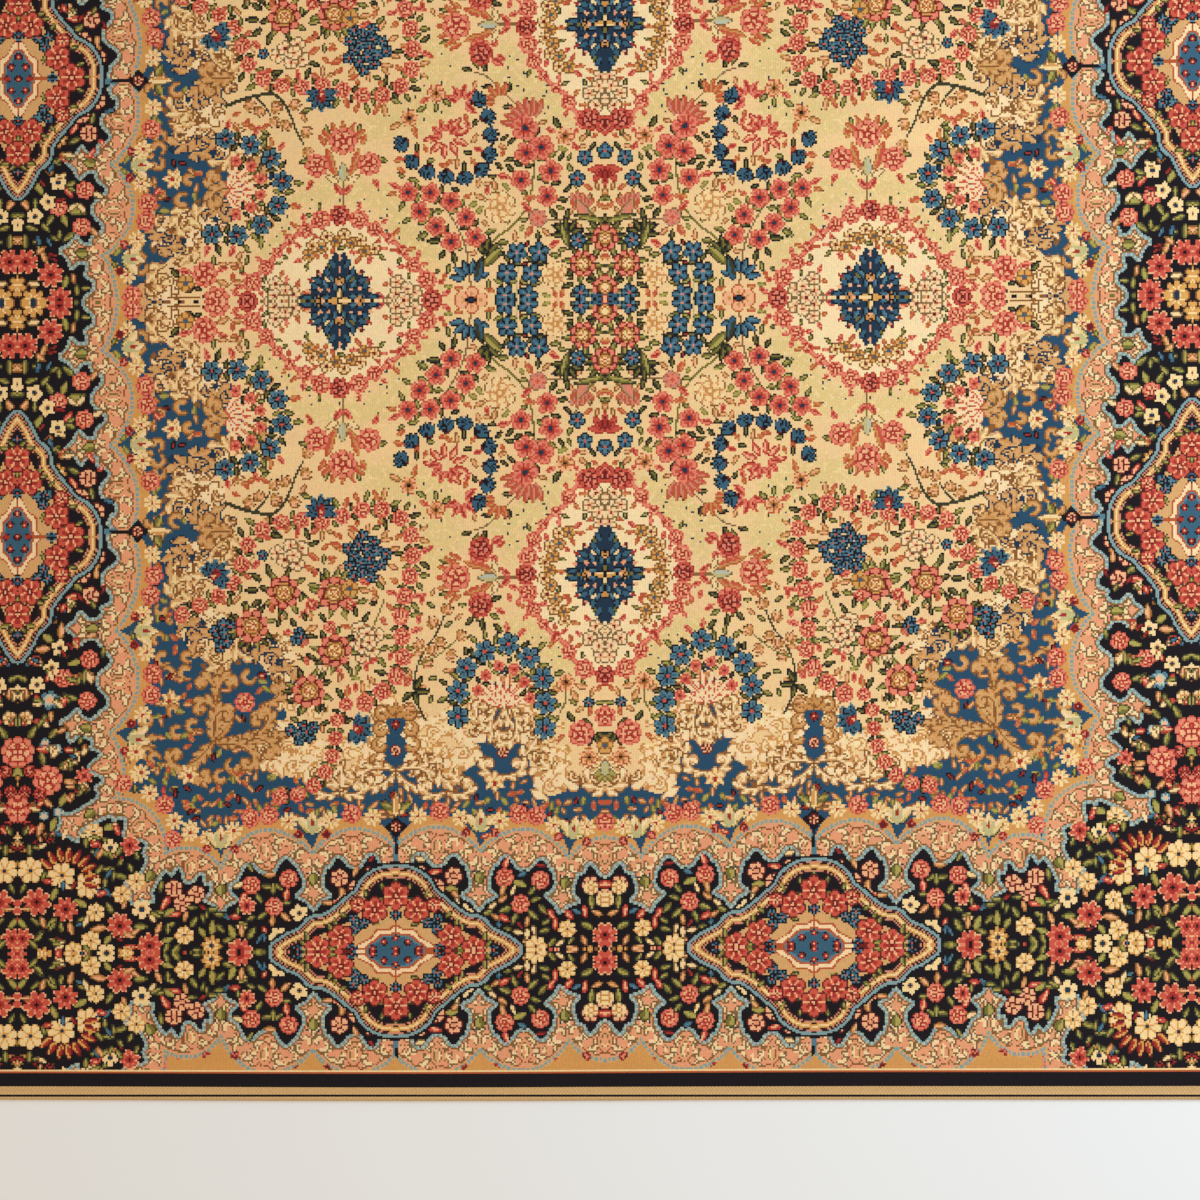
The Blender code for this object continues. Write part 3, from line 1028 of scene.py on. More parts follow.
def draw_blue(chart):
    """Arabesques, curls, palmettes and buds on the blue ground of corner, pockets and bottom."""
    for side in (-1, 1):
        chart.fill([*((396 + side * half, y) for half, y in BLUE_SPEAR), (396, 780)], "blue")
        for y in (712, 728, 744, 760):
            comma(chart, 396 + side * (13 + 0.1 * (y - 712)), y, 6.5, -90, side * 240, 4.5)
    lotus(chart, 396, 716, -90, 17, "tan", "brown", None, None, 5, 70, 5)
    for stem in BLUE_STEMS:
        frond(chart, stem, 3.6, 3.6, 9.0, 0, TAN_TONES)
    leaf(chart, 216, 738, 27, -50, 9, "sand", "brown", "tan", 1.6)
    for (x, y), *scrolls in ARABESQUES:
        for turned in scrolls:
            scroll(chart, x, y, *turned, SAND_TONES if x > 300 else TAN_TONES)
    bloom_all(chart, BLUE_BLOOMS)
    for x, y, angle in ((175, 429, 180), (495, 780, 90), (188, 773, 60), (172, 700, 160)):
        lotus(chart, x, y, angle, 13, "straw", "tan", None, None, 5, 100, 5)
        lotus(chart, x, y, angle + 180, 11, "straw", "tan", None, None, 3, 60, 4)
        leaf(chart, x, y, 7, angle, 4.5, "crimson", None)
    fill_curls(chart, [(x, min(y, 786)) for x, y in BLUE_GROUND if x < 300], "blue", 9.5, 6.0, 3)
    fill_gaps(chart, BLUE_GROUND, "blue", ("tan", "lime", "rust", "wine", "tan"), 5.2, 8.0, 4)


# --- the field: medallions -----------------------------------------------------
def rings(chart, x, y, lobes, tall):
    """A medallion's flowers.

    A wreath of roses runs on the rim of overlapping discs, with a ring of gold eyes inside it and lace
    flowers in two of the lobes.
    """
    def rim(turn):
        """Distance to the rim of three pairs of discs, each pair set out along one axis by its own amount."""
        reach = 0.0
        for out_x, out_y, r in lobes:
            near = out_x * abs(math.cos(turn)) + out_y * abs(math.sin(turn))
            off = out_x * abs(math.sin(turn)) - out_y * abs(math.cos(turn))
            if abs(off) < r:
                reach = max(reach, near + math.sqrt(r * r - off * off))
        return reach

    outline = [toward(x, y, angle, rim(math.radians(angle))) for angle in range(0, 365, 5)]
    chart.fill(outline[:-1], "ivory")
    for yarn, width in (("coral", 5.4), ("pink", 3.4)):
        stroke(chart, outline, yarn, width, bend=False)
    places = []
    for number in range(28):
        turn = number * math.pi / 14
        lobe = abs(math.cos(2 * turn))
        kind = "red_rose" if lobe > 0.95 else "rose"
        place = toward(x, y, math.degrees(turn), rim(turn))
        places.append(bloom(chart, *place, 4.4 + 5.6 * lobe**1.5, kind))
    for number in range(48):
        turn = (number + 0.5) * math.pi / 24
        if (abs(math.cos(turn)) > 0.62) == tall:
            kind = ("yellow_eye", "wine_eye")[number % 2]
            place = toward(x, y, math.degrees(turn), rim(turn) * (0.7 + 0.08 * (number % 2)))
            places.append(bloom(chart, *place, 5.6, kind))
    out = 0.66 * rim(math.pi / 2 if tall else 0)
    for side in (-1, 1):
        oval = (x, y + side * out, 24, 18) if tall else (x + side * out, y, 16, 22)
        places += cluster(chart, "lace", 6.6, 9, *oval)
    sprigs(chart, places, ("rust", "rose", "olive", "rose"), 3, 6, 7.5, ("ivory", "pale", "khaki"))


def medallion(chart, x, y):
    """A dark blue arabesque lozenge.

    Rings of pointed leaves lie on it with peach and olive sprigs between, and crimson ones at its shoulders.
    """
    def reach_at(turn, ripple=1.0):
        """Distance to the rim: a lozenge of rounded power 1.25, rippled by two cosines of the turn."""
        c, s = abs(math.cos(turn)), abs(math.sin(turn))
        reach = ((c / 38.0) ** 1.25 + (s / 46.0) ** 1.25) ** -0.8
        return reach * (1 + ripple * (0.1 * math.cos(8 * turn) + 0.08 * math.cos(24 * turn + math.pi)))

    turns = np.linspace(0, 2 * math.pi, 145)[:-1]
    chart.fill([toward(x, y, math.degrees(turn), reach_at(turn)) for turn in turns], "ink")
    for share, count, size, shine in ((0.3, 8, 9, "sky"), (0.52, 12, 10, "sky"), (0.78, 20, 10, None)):
        for number in range(count):
            turn = (number + 0.5) * 2 * math.pi / count
            lean = math.degrees(turn)
            place = toward(x, y, lean, share * reach_at(turn, 0.3))
            leaf(chart, *place, size, lean + 24 * (-1) ** (number + 1), 4.6, "steel", "navy", shine)
            turn += math.pi / count
            lean = math.degrees(turn)
            bit = ("peach", "olive", "salmon", "straw")[number % 4]
            leaf(chart, *toward(x, y, lean, (share + 0.1) * reach_at(turn, 0.3)), 7, lean, 3.4, bit, None)
    for lean in range(0, 360, 18):
        if 25 < lean % 90 < 70:
            leaf(chart, *toward(x, y, lean, 34), 6, lean, 3.2, ("crimson", "wine")[lean % 4 // 2], None)
    for lean, yarn in ((90, "olive"), (270, "olive"), (0, "amber"), (180, "amber")):
        leaf(chart, x, y, 13, lean, 5.5, yarn, "navy", "straw")
        lotus(chart, *toward(x, y, lean, 17), lean, 9, "tan", "navy", None, "peach", 3, 40, 4)
    disc(chart, x, y, 1.8, "straw", "navy")


# A pendant's leaves on either side of its stem: angle off it, reach, length, lean, kind.
PENDANT_LEAVES = (
    (6, 12, 12, 40, "rose"), (12, 24, 13, 60, "straw"), (10, 31, 24, 34, "rust"), (14, 42, 18, 20, "rust"),
    (34, 58, 12, 110, "olive"), (16, 64, 12, 30, "rust"), (50, 40, 10, 150, "rose"),
    (12, 74, 10, 10, "olive"),
)


def pendant(chart, x, y, angle):
    """Three roses on a leafy stem: two beside it and a pointed one at its end."""
    stroke(chart, [(x, y), toward(x, y, angle, 34)], "taupe", 1.8, 3.0, bend=False)
    leaf_set(chart, x, y, angle, PENDANT_LEAVES)
    for side in (-1, 1):
        bloom(chart, *toward(x, y, angle + side * 32, 49), 11.5, "rose")
    fan(chart, *toward(x, y, angle, 56), angle, 5, 90, 20, 10, "rust")
    leaf(chart, *toward(x, y, angle, 24), 20, angle, 8, "sage", "taupe", "mist")
    rose(chart, *toward(x, y, angle, 66), 14, angle, *ROSES["rose"], "rust")


# --- the field: flowers --------------------------------------------------------
# Rows of flowers along curves: kind, radius at the start and end, spacing, points of the curve.
WREATHS = (
    # horseshoes
    ("sky_daisy", 10, 10, 24.5, (212, 371), (252, 373), (283, 411), (266, 454), (225, 469)),
    ("small_rose", 5, 5, 15, (236, 391), (256, 402), (262, 420), (254, 438), (236, 446)),
    ("sky_daisy", 11, 11, 24, (458, 716), (463, 672), (506, 643), (542, 676), (545, 728)),
    ("small_rose", 5, 5, 16, (478, 690), (488, 672), (506, 664), (522, 678), (530, 698)),
    # garland round the bouquets
    ("rose", 7, 8.4, 21, (182, 615), (205, 602), (225, 592), (239, 574), (246, 548), (264, 529), (292, 520),
     (326, 521), (360, 510), (386, 510), (408, 526), (413, 560), (405, 595), (400, 625), (404, 652),
     (392, 682), (365, 702)),
    ("rose", 6, 7.5, 18, (346, 704), (337, 720), (334, 750), (322, 776), (300, 793), (280, 796)),
    # anemone sprays, arch of bells and hanging bells
    ("coral_anemone", 9.5, 9.5, 22, (475, 363), (464, 386), (448, 402), (430, 409), (408, 410)),
    ("coral_anemone", 9.5, 9.5, 22, (451, 359), (436, 375), (420, 390)),
    ("coral_anemone", 10, 13, 24, (547, 403), (551, 426), (543, 450), (525, 472)),
    ("coral_anemone", 10, 11, 28, (521, 420), (526, 447)),
    ("bell", 10, 10, 22, (512, 283), (505, 305), (507, 327), (517, 347)),
    ("bell", 10, 10, 22, (530, 281), (528, 303), (532, 327), (539, 347)),
)
# Flowers packed over ovals: kind, radius, number, middle, half widths.
CLUSTERS = (
    ("blue_button", 5.6, 16, 366, 558, 23, 23), ("blue_button", 5.6, 7, 223, 633, 10, 15),
    ("blue_button", 5.6, 7, 303, 731, 15, 9), ("lace", 7, 6, 290, 555, 15, 14),
    ("lace", 7, 8, 366, 642, 15, 16), ("lace", 6.5, 3, 330, 660, 14, 8),
    ("blue_button", 5.5, 3, 299, 637, 6, 5),
)
# Lone flowers of the field: kind, radius, places.
FIELD_BLOOMS = (
    ("double_rose", 16, (334, 593), (284, 592), (252, 626), (335, 650), (309, 691)),
    ("red_rose", 11, (481, 548), (480, 606), (590, 479)),
    ("rose", 12.5, (217, 304), (205, 330), (581, 733)), ("rose", 10, (605, 716)),
    ("orange_star", 8.5, (409, 485), (436, 510), (566, 682), (589, 757), (565, 463)),
    ("orange_star", 17, (471, 296)),
    ("mauve_rose", 9, (538, 381)), ("tea_rose", 16, (500, 393)), ("tea_rose", 13, (555, 324)),
    ("yellow_eye", 8, (186, 321), (605, 745), (350, 588)),
    ("rose", 5.5, (350, 604), (312, 604), (330, 627)),
    ("double_rose", 12.5, (605, 310), (583, 335), (605, 360)),
    ("blue_button", 7.5, (577, 420), (585, 441), (605, 447), (581, 306), (578, 358)),
    ("blue_button", 5, (589, 702), (263, 555)),
)
# Stems: points, yarn, width, tip width, number of flowers, their kind and size.
SPRAYS = (
    (((471, 312), (469, 330), (466, 352), (458, 372), (446, 392), (432, 404)), "taupe", 2.0, 1.6, 5,
     "olive", 10),
    (((484, 345), (494, 360), (510, 372), (524, 388), (530, 402), (533, 420), (534, 440), (530, 458)),
     "olive", 2.6, 1.8, 7, "olive", 11),
    (((516, 300), (518, 330), (526, 352)), "sage", 2.2, 1.6, 5, "wine", 7),
    (((548, 380), (570, 379), (604, 379)), "taupe", 1.8, 1.8, 5, "tan", 10),
    (((226, 503), (246, 510), (270, 514), (282, 506), (290, 492), (296, 476), (304, 460)), "green", 4.0,
     1.8, 7, "tulip", 11),
    (((254, 512), (264, 502), (270, 492)), "green", 2.0, 1.6, 3, "tulip", 10),
    (((426, 720), (418, 704), (414, 684), (418, 664), (426, 648), (436, 634), (444, 616)), "green", 2.0,
     2.0, 8, "tulip", 11),
    (((418, 664), (436, 656), (456, 640)), "olive", 1.8, 1.6, 3, "tulip", 11),
    (((530, 480), (520, 492), (506, 506), (488, 524), (474, 530)), "taupe", 1.8, 1.6, 6, "dark", 10),
    (((169, 307), (186, 307), (200, 307)), "brown", 1.8, 1.6, 4, "dark", 11),
    (((384, 600), (376, 620), (366, 640)), "olive", 1.8, 1.6, 3, "mauve", 9),
    (((569, 350), (568, 368), (560, 378)), "green", 2.6, 1.8, 4, "dark", 12),
    (((592, 384), (584, 396), (578, 408)), "olive", 1.8, 1.6, 3, "olive", 9),
    (((566, 690), (566, 700), (560, 712)), "olive", 1.8, 1.6, 3, "olive", 9),
)
# Fans of leaves: x, y, heading, count, spread, length, start, kind.
FANS = (
    (226, 417, 0, 7, 140, 17, 3, "blush"), (226, 417, 0, 8, 130, 18, 16, "blush"),
    (503, 706, -90, 7, 140, 17, 3, "blush"), (503, 706, -90, 8, 130, 18, 16, "blush"),
    (414, 690, 40, 4, 200, 14, 2, "dark"), (470, 320, 95, 6, 150, 15, 6, "steel"),
    (484, 342, 60, 4, 90, 18, 4, "dark"), (446, 466, -60, 7, 220, 15, 8, "red"),
    (446, 466, 110, 5, 150, 12, 5, "rose"), (462, 500, 60, 6, 200, 14, 4, "rose"),
    (531, 472, 118, 7, 100, 19, 12, "mauve"), (500, 500, 130, 5, 120, 13, 6, "rust"),
    (581, 318, 200, 5, 160, 12, 8, "dark"), (605, 361, 90, 5, 170, 12, 11, "dark"),
    (568, 364, 80, 6, 200, 13, 4, "dark"), (578, 386, 75, 5, 70, 18, 3, "mauve"),
    (368, 556, -90, 9, 300, 11, 22, "tan"), (368, 556, -70, 9, 300, 9, 32, "rust"),
    (594, 730, 130, 6, 200, 12, 4, "dark"), (605, 770, 90, 5, 140, 12, 0, "lime"),
    (272, 590, 200, 4, 120, 13, 14, "dark"), (334, 593, -60, 5, 200, 12, 15, "olive"),
    (309, 691, 180, 5, 260, 12, 15, "dark"), (252, 626, 150, 5, 200, 11, 15, "dark"),
)
# Outlines of areas whose bare ground is filled with small leaves, kinds, reach.
FILLS = (
    (((300, 505), (420, 500), (424, 600), (416, 700), (370, 715), (330, 800), (300, 800), (250, 670),
      (200, 660), (176, 620), (230, 550), (250, 520)),
      ("olive", "tan", "rust", "dark", "rose", "tan", "mauve", "lime"), 3.6),
    (((394, 470), (400, 410), (500, 400), (510, 520), (450, 530), (430, 480)),
     ("rust", "rose", "olive", "tan", "dark"), 4.2),
    (((420, 280), (606, 280), (606, 480), (540, 480), (500, 500), (400, 420)),
     ("olive", "rust", "tan", "lime"), 5.2),
    (((150, 280), (250, 280), (250, 470), (320, 500), (240, 560), (180, 560), (150, 400)),
     ("tan", "rust", "olive"), 4.4),
    (((540, 700), (606, 700), (606, 800), (540, 790)), ("tan", "olive", "rust"), 4.6),
    (((380, 560), (470, 560), (480, 740), (400, 740)), ("tan", "olive"), 6.5),
    (((500, 500), (606, 460), (700, 560), (606, 680), (500, 650)), ("rust", "rose", "tan"), 6.5),
    (((250, 240), (430, 240), (440, 330), (380, 400), (290, 400), (240, 330)), ("rust", "rose", "tan"), 6.5),
)


# Lone flowers made of petals: x, y, angle, reach; petal, edge, tip and heart yarns; petals, spread, width.
LOTUSES = (
    (605, 430, -90, 21, "coral", "crimson", None, None, 5, 84, 7),
    (605, 428, -90, 12, "crimson", "wine", None, None, 3, 50, 5),
    (558, 282, 90, 21, "coral", "peach", None, None, 7, 70, 4),
)
# Lone leaves: x, y, length, angle, width, fill, outline and rib yarns.
LONE_LEAVES = (
    (588, 378, 24, 118, 9, "mauve", "olive", "pink"), (568, 352, 26, 106, 5, "olive", "green", "lime"),
    (604, 377, 30, 168, 5, "olive", "green", "lime"), (476, 318, 26, 76, 8, "steel", "navy", "green"),
    (484, 334, 26, 46, 8, "olive", "green", "lime"), (605, 760, 16, 90, 9, "mist", "taupe", "sage"),
)
# The arch of blue bells over the middle bouquet.
BELL_ARCH = ((401, 459), (416, 436), (440, 426), (465, 423), (486, 435), (491, 460), (488, 485), (476, 508))


def draw_field(chart):
    """The pale field: clouds, scrolls, stems, medallions, fans, rows and clusters of flowers, fillers."""
    draw_clouds(chart)
    light_scrolls(chart)
    draw_blue(chart)
    for row in SPRAYS:
        spray(chart, *row)
    pendant(chart, 522, 577, 180)
    pendant(chart, 343, 398, 90)
    rings(chart, 606, 574, ((0, 0, 80), (0, 60, 41)), True)
    rings(chart, 340, 301, ((0, 0, 80), (50, 0, 42), (0, 44, 43)), False)
    medallion(chart, 606, 574)
    medallion(chart, 340, 301)
    for row in FANS:
        fan(chart, *row)
    arch = smooth(BELL_ARCH, 4)
    for at in range(0, len(arch) - 1, 3):
        angle = bearing(arch[at], arch[at + 1]) - 90
        leaf(chart, *toward(*arch[at], angle, -9), 8, angle, 7, "wine", "navy")
        lotus(chart, *toward(*arch[at], angle, -6), angle, 15, "steel", "navy", None, None, 5, 46, 5.4)
    places = [place for row in WREATHS for place in wreath(chart, *row)]
    places += [place for row in CLUSTERS for place in cluster(chart, *row)]
    places += bloom_all(chart, FIELD_BLOOMS)
    for x, y, angle in ((321, 512, -90), (214, 576, -50), (356, 728, 20), (605, 300, -90)):
        lotus(chart, x, y, angle, 17, "steel", "navy", "sky", "crimson", 7, 100, 7)
        lotus(chart, x, y, angle, 9, "crimson", "wine", None, "peach", 3, 30, 4)
    for row in LOTUSES:
        lotus(chart, *row)
    disc(chart, 471, 296, 5.6, "ink", "navy")
    for row in LONE_LEAVES:
        leaf(chart, *row)
    sprigs(chart, places, ("olive", "dark", "olive", "rust", "tan", "dark", "rose"), 11, 7, 11.0)
    for seed, (outline, kinds, reach) in enumerate(FILLS):
        fill_gaps(chart, outline, "pale", kinds, reach, 8.5, seed)


def draw_chart():
    """A quarter of the rug, drawn from its ground to its edge."""
    chart = Chart("navy")
    draw_zones(chart)
    draw_field(chart)
    draw_band(chart)
    draw_guard(chart)
    draw_border(chart)
    mirror_border(chart)
    return chart


def draw_rug():
    """The whole rug's yarns, the quarter mirrored both ways; the first row is the far end."""
    quarter = draw_chart().yarn
    half = np.concatenate([quarter[:, ::-1], quarter], 1)
    return np.concatenate([half[::-1], half], 0)


# --- meshes -----------------------------------------------------------------
def side_stray(y):
    """The side edge's waver: two slow sine waves of the length."""
    t = y / HALF_LENGTH
    return WAVER * (0.6 * np.sin(2.6 * t + 0.4) + 0.4 * np.sin(7.3 * t + 1.1))


def end_stray(x):
    """The end edge's waver: two slow sine waves of the width."""
    t = x / HALF_WIDTH
    return WAVER * (0.7 * np.sin(2.1 * t + 0.9) + 0.3 * np.sin(6.1 * t))


def warped(x, y):
    """Where a point of the straight rug lies on the real one: an edge's stray, in proportion further in."""
    side = np.where(x > 0, side_stray(y), -side_stray(-y))
    end = np.where(y > 0, end_stray(x), -end_stray(-x))
    return x + side * np.abs(x) / HALF_WIDTH, y + end * np.abs(y) / HALF_LENGTH


def new_object(name, mesh, material_list):
    """Puts a mesh in the scene with its materials in order."""
    piece = bpy.data.objects.new(name, mesh)
    for material in material_list:
        mesh.materials.append(material)
    bpy.context.scene.collection.objects.link(piece)
    return piece


def mesh_from_faces(name, points, quads, extra_faces=()):
    """A mesh of the points (n x 3), the quads (m x 4) and a few larger faces."""
    mesh = bpy.data.meshes.new(name)
    corners = np.concatenate([quads.ravel(), *extra_faces]).astype(np.int32)
    counts = np.concatenate([np.full(len(quads), 4), [len(face) for face in extra_faces]]).astype(np.int32)
    mesh.vertices.add(len(points))
    mesh.vertices.foreach_set("co", np.asarray(points, np.float32).ravel())
    mesh.loops.add(len(corners))
    mesh.loops.foreach_set("vertex_index", corners)
    mesh.polygons.add(len(counts))
    mesh.polygons.foreach_set("loop_start", (np.cumsum(counts) - counts).astype(np.int32))
    mesh.polygons.foreach_set("loop_total", counts)
    mesh.update(calc_edges=True)
    mesh.validate()
    return mesh


def grid_quads(number):
    """The faces of a grid of numbered points, each from its lower left corner round."""
    return np.stack([number[:-1, :-1], number[:-1, 1:], number[1:, 1:], number[1:, :-1]], -1)


def add_uv(mesh, name, corners):
    """A flat map of the mesh, from the places of its faces' corners."""
    layer = mesh.uv_layers.new(name=name)
    layer.data.foreach_set("uv", np.asarray(corners, np.float32).ravel())


def body_mesh(sizes):
    """The woven body: a grid of rows across the rug and columns along it.

    A row's height is the flat weave's top in the two end strips and the pile's top in between, which drops to
    the rim's top at the pile's own edge. The outermost rows and columns are the feet of the walls. One flat
    face closes the underside. The pile's top rolls by a few slow sine waves and a fine seeded roughness.
    """
    pile_y = np.linspace(-HALF_PILE, HALF_PILE, KNOTS_ALONG // QUAD_KNOTS + 1)
    strip_y = np.array([HALF_LENGTH, HALF_LENGTH, (HALF_LENGTH + SLOPE_FOOT) / 2, SLOPE_FOOT])
    rows_y = np.concatenate([-strip_y, pile_y, strip_y[::-1]])
    columns_x = np.pad(np.linspace(-HALF_WIDTH, HALF_WIDTH, KNOTS_ACROSS // QUAD_KNOTS + 1), 1, "edge")
    rows, columns, strip = len(rows_y), len(columns_x), len(strip_y)
    pile, strip_lines = (slice(strip, -strip), slice(1, -1)), (1, 2, 3, -4, -3, -2)

    x, y = np.broadcast_arrays(columns_x[None, :], rows_y[:, None])
    height = np.full(x.shape, sizes.pile_top)
    height[[strip, -strip - 1]] = height[:, [1, -2]] = sizes.rim_top
    grain = np.random.default_rng(GRAIN_SEED).normal(0, 1, height.shape)
    roll = 0.6 * np.sin(9.1 * x + 2.0 * np.sin(3.3 * y)) * np.sin(7.7 * y + 1.3 * np.sin(4.1 * x))
    roll = roll + 0.4 * np.sin(23 * x + 17 * y)
    height = height + sizes.roll_height * (roll - 1) * 0.5 + GRAIN_HEIGHT * np.clip(grain, -2, 2)
    height[strip_lines, :] = FLAT_WEAVE_TOP + WEFT_HEIGHT * np.sin(columns_x / WEFT_PITCH * math.pi)
    height[[0, -1]] = height[:, [0, -1]] = 0
    px, py = warped(x, y)
    lean = row_lean(MIDDLE[1] + 1000 * np.abs(y)) * x
    py = py + np.where(np.abs(y) < HALF_PILE - 0.0001, lean, 0)
    points = np.stack([px, py, height], -1).reshape(-1, 3)

    number = np.arange(rows * columns).reshape(rows, columns)
    for row, inner in ((0, 1), (-1, -2)):
        for column, beside in ((0, 1), (-1, -2)):
            number[[row, inner], column] = number[row, beside]
    quads = grid_quads(number)
    in_pile, wall, dropped = np.zeros((3, *quads.shape[:2]), bool)
    in_pile[pile] = wall[[0, -1]] = wall[:, [0, -1]] = True
    dropped[np.ix_((0, -1), (0, -1))] = True
    keep = ~dropped
    edges = (number[2:-2, 0], number[-1, 1:-1], number[2:-2, -1][::-1], number[0, 1:-1][::-1])
    under_edge = np.concatenate(edges)
    used, face_points = np.unique(np.concatenate([quads[keep].ravel(), under_edge]), return_inverse=True)
    kept_quads, under_face = face_points[: -len(under_edge)].reshape(-1, 4), face_points[-len(under_edge) :]
    mesh = mesh_from_faces("rug_body", points[used], kept_quads, [under_face])

    # knots: a map in knots, and the yarns of each face's 3 x 3 knots as attributes, one to a row of knots
    cell_rows, cell_columns = (cells[keep] for cells in np.indices(in_pile.shape))
    at = (cell_rows[:, None] + (0, 0, 1, 1), cell_columns[:, None] + (0, 1, 1, 0))
    under = points[under_edge, :2]
    knots = np.stack([((x + HALF_WIDTH) / KNOT)[at], ((y + HALF_PILE) / KNOT)[at]], -1).reshape(-1, 2)
    add_uv(mesh, "knots", np.concatenate([knots, under / KNOT]))
    yarns = draw_rug()[::-1].reshape(-1, QUAD_KNOTS, KNOTS_ACROSS // QUAD_KNOTS, QUAD_KNOTS)
    for line, attribute in enumerate(YARN_LINES):
        values = np.zeros((*in_pile.shape, QUAD_KNOTS), np.float32)
        values[pile] = yarns[:, line]
        data = mesh.attributes.new(attribute, "FLOAT_VECTOR", "FACE").data
        data.foreach_set("vector", np.append(values[keep], np.zeros(QUAD_KNOTS, np.float32)))

    # the laid-out map of a baked picture: the top fills the square, walls and underside get slips
    top_u = 0.004 + 0.992 * (x + HALF_WIDTH) / (2 * HALF_WIDTH)
    top_v = 0.036 + 0.960 * (y + HALF_LENGTH) / (2 * HALF_LENGTH)
    laid = np.stack([top_u[at], top_v[at]], -1)
    on_end = (cell_rows == 0) | (cell_rows == rows - 2)
    on_side = ((cell_columns == 0) | (cell_columns == columns - 2)) & ~on_end
    lift = 0.004 * (points[:, 2].reshape(rows, columns)[at] / PILE_TOP)
    ends, sides = (on_end, top_u, cell_rows, (0.002, 0.008)), (on_side, top_v, cell_columns, (0.014, 0.020))
    for chosen, run, cells, slips in (ends, sides):
        shelf = np.where(cells == 0, *slips)[:, None]
        laid[chosen] = np.stack([run[at], shelf + lift], -1)[chosen]
    under_u, under_v = 0.01 + 0.05 * (under[:, 0] + HALF_WIDTH), 0.0265 + 0.004 * (under[:, 1] + HALF_LENGTH)
    add_uv(mesh, "OFBake", np.concatenate([laid.reshape(-1, 2), np.stack([under_u, under_v], -1)]))

    strip_wall = np.zeros_like(wall)
    strip_wall[[0, 1, 2, -3, -2, -1]] = True
    slots = np.where(in_pile | (wall & ~strip_wall), 0, 1)[keep]
    mesh.polygons.foreach_set("material_index", np.append(slots, 2).astype(np.int32))
    mesh.polygons.foreach_set("use_smooth", np.append((~wall)[keep], False))
    mesh.uv_layers.active = mesh.uv_layers["knots"]
    mesh.update()
    return mesh


def cord_mesh(side, sizes):
    """An overcast side cord: a tube along the rug's edge with two rounded ends.

    Its radius swells and sinks as a cosine, once to each turn of the wool, and the turns slant round it.
    """
    turns = int(2 * HALF_LENGTH / sizes.wrap_pitch)
    rings = turns * TURN_RINGS + 1
    share = np.linspace(0, 1, rings)
    y = -HALF_LENGTH + 2 * HALF_LENGTH * share
    angle = np.arange(CORD_SIDES) / CORD_SIDES * 2 * math.pi
    wound = share[:, None] * turns * 2 * math.pi - side * angle[None, :]
    radius = CORD_RADIUS * (0.93 + 0.07 * np.cos(wound))
    spread = np.random.default_rng(CORD_SEED + side).normal(0, 0.00004, rings)
    end = np.clip(np.minimum(share, 1 - share) * 2 * HALF_LENGTH / CORD_RADIUS, 0, 1)
    radius = (radius + spread[:, None]) * np.sqrt(np.clip(1 - (1 - end[:, None]) ** 2, 0.06, 1))
    middle_x = side * (HALF_WIDTH + CLEARANCE + CORD_RADIUS) + side * side_stray(side * y)
    px, py = np.broadcast_arrays(middle_x[:, None] + radius * np.cos(angle), y[:, None])
    points = np.stack([px, py, CORD_RADIUS + radius * np.sin(angle)], -1).reshape(-1, 3)
    number = np.arange(rings * CORD_SIDES).reshape(rings, CORD_SIDES)
    following = np.roll(number, -1, 1)
    quads = np.stack([number[:-1], number[1:], following[1:], following[:-1]], -1).reshape(-1, 4)
    name = "side_cord_wool_left" if side < 0 else "side_cord_wool_right"
    mesh = mesh_from_faces(name, points, quads, [number[0], number[-1][::-1]])

    # a map in turns of the wool, and the laid-out map of a baked picture: the tube's length cut into strips
    ring_of = np.repeat(np.arange(rings - 1), CORD_SIDES)[:, None]
    ring_at = ring_of + (0, 1, 1, 0)
    place_at = np.tile(np.arange(CORD_SIDES), rings - 1)[:, None] + (0, 0, 1, 1)
    wound_map = np.stack([ring_at / TURN_RINGS, place_at / CORD_SIDES], -1).reshape(-1, 2)
    add_uv(mesh, "wool", np.concatenate([wound_map, np.zeros((2 * CORD_SIDES, 2))]))
    piece = rings // CORD_STRIPS + 1
    laid_u = 0.002 + 0.99 * ((ring_at - ring_of + ring_of % piece) / (piece + 1))
    laid_v = (ring_of // piece + 0.04 + 0.9 * place_at / CORD_SIDES) / (CORD_STRIPS + 1)
    cap = np.stack([0.5 + 0.008 * np.cos(angle), 0.988 + 0.008 * np.sin(angle)], -1)
    laid = np.stack([laid_u, laid_v], -1).reshape(-1, 2)
    add_uv(mesh, "OFBake", np.concatenate([laid, cap, cap + (0.03, 0)]))
    mesh.polygons.foreach_set("use_smooth", np.ones(len(mesh.polygons), bool))
    mesh.uv_layers.active = mesh.uv_layers["wool"]
    mesh.update()
    return mesh


# --- materials ---------------------------------------------------------------
class Wire:
    """A node's output that can be added, multiplied and compared like a number."""

    def __init__(self, finish, socket):
        self.finish, self.socket = finish, socket

    def maths(self, operation, *others):
        return self.finish.node("ShaderNodeMath", {"operation": operation}, self, *others)

    def __rsub__(self, other):
        return self.finish.node("ShaderNodeMath", {"operation": "SUBTRACT"}, other, self)

    def __getitem__(self, part):
        return Wire(self.finish, self.socket.node.outputs[part])

    __add__ = __radd__ = partialmethod(maths, "ADD")
    __sub__ = partialmethod(maths, "SUBTRACT")
    __mul__ = __rmul__ = partialmethod(maths, "MULTIPLY")
    __truediv__ = partialmethod(maths, "DIVIDE")
    __mod__ = partialmethod(maths, "FLOORED_MODULO")
    __gt__ = partialmethod(maths, "GREATER_THAN")
    __lt__ = partialmethod(maths, "LESS_THAN")


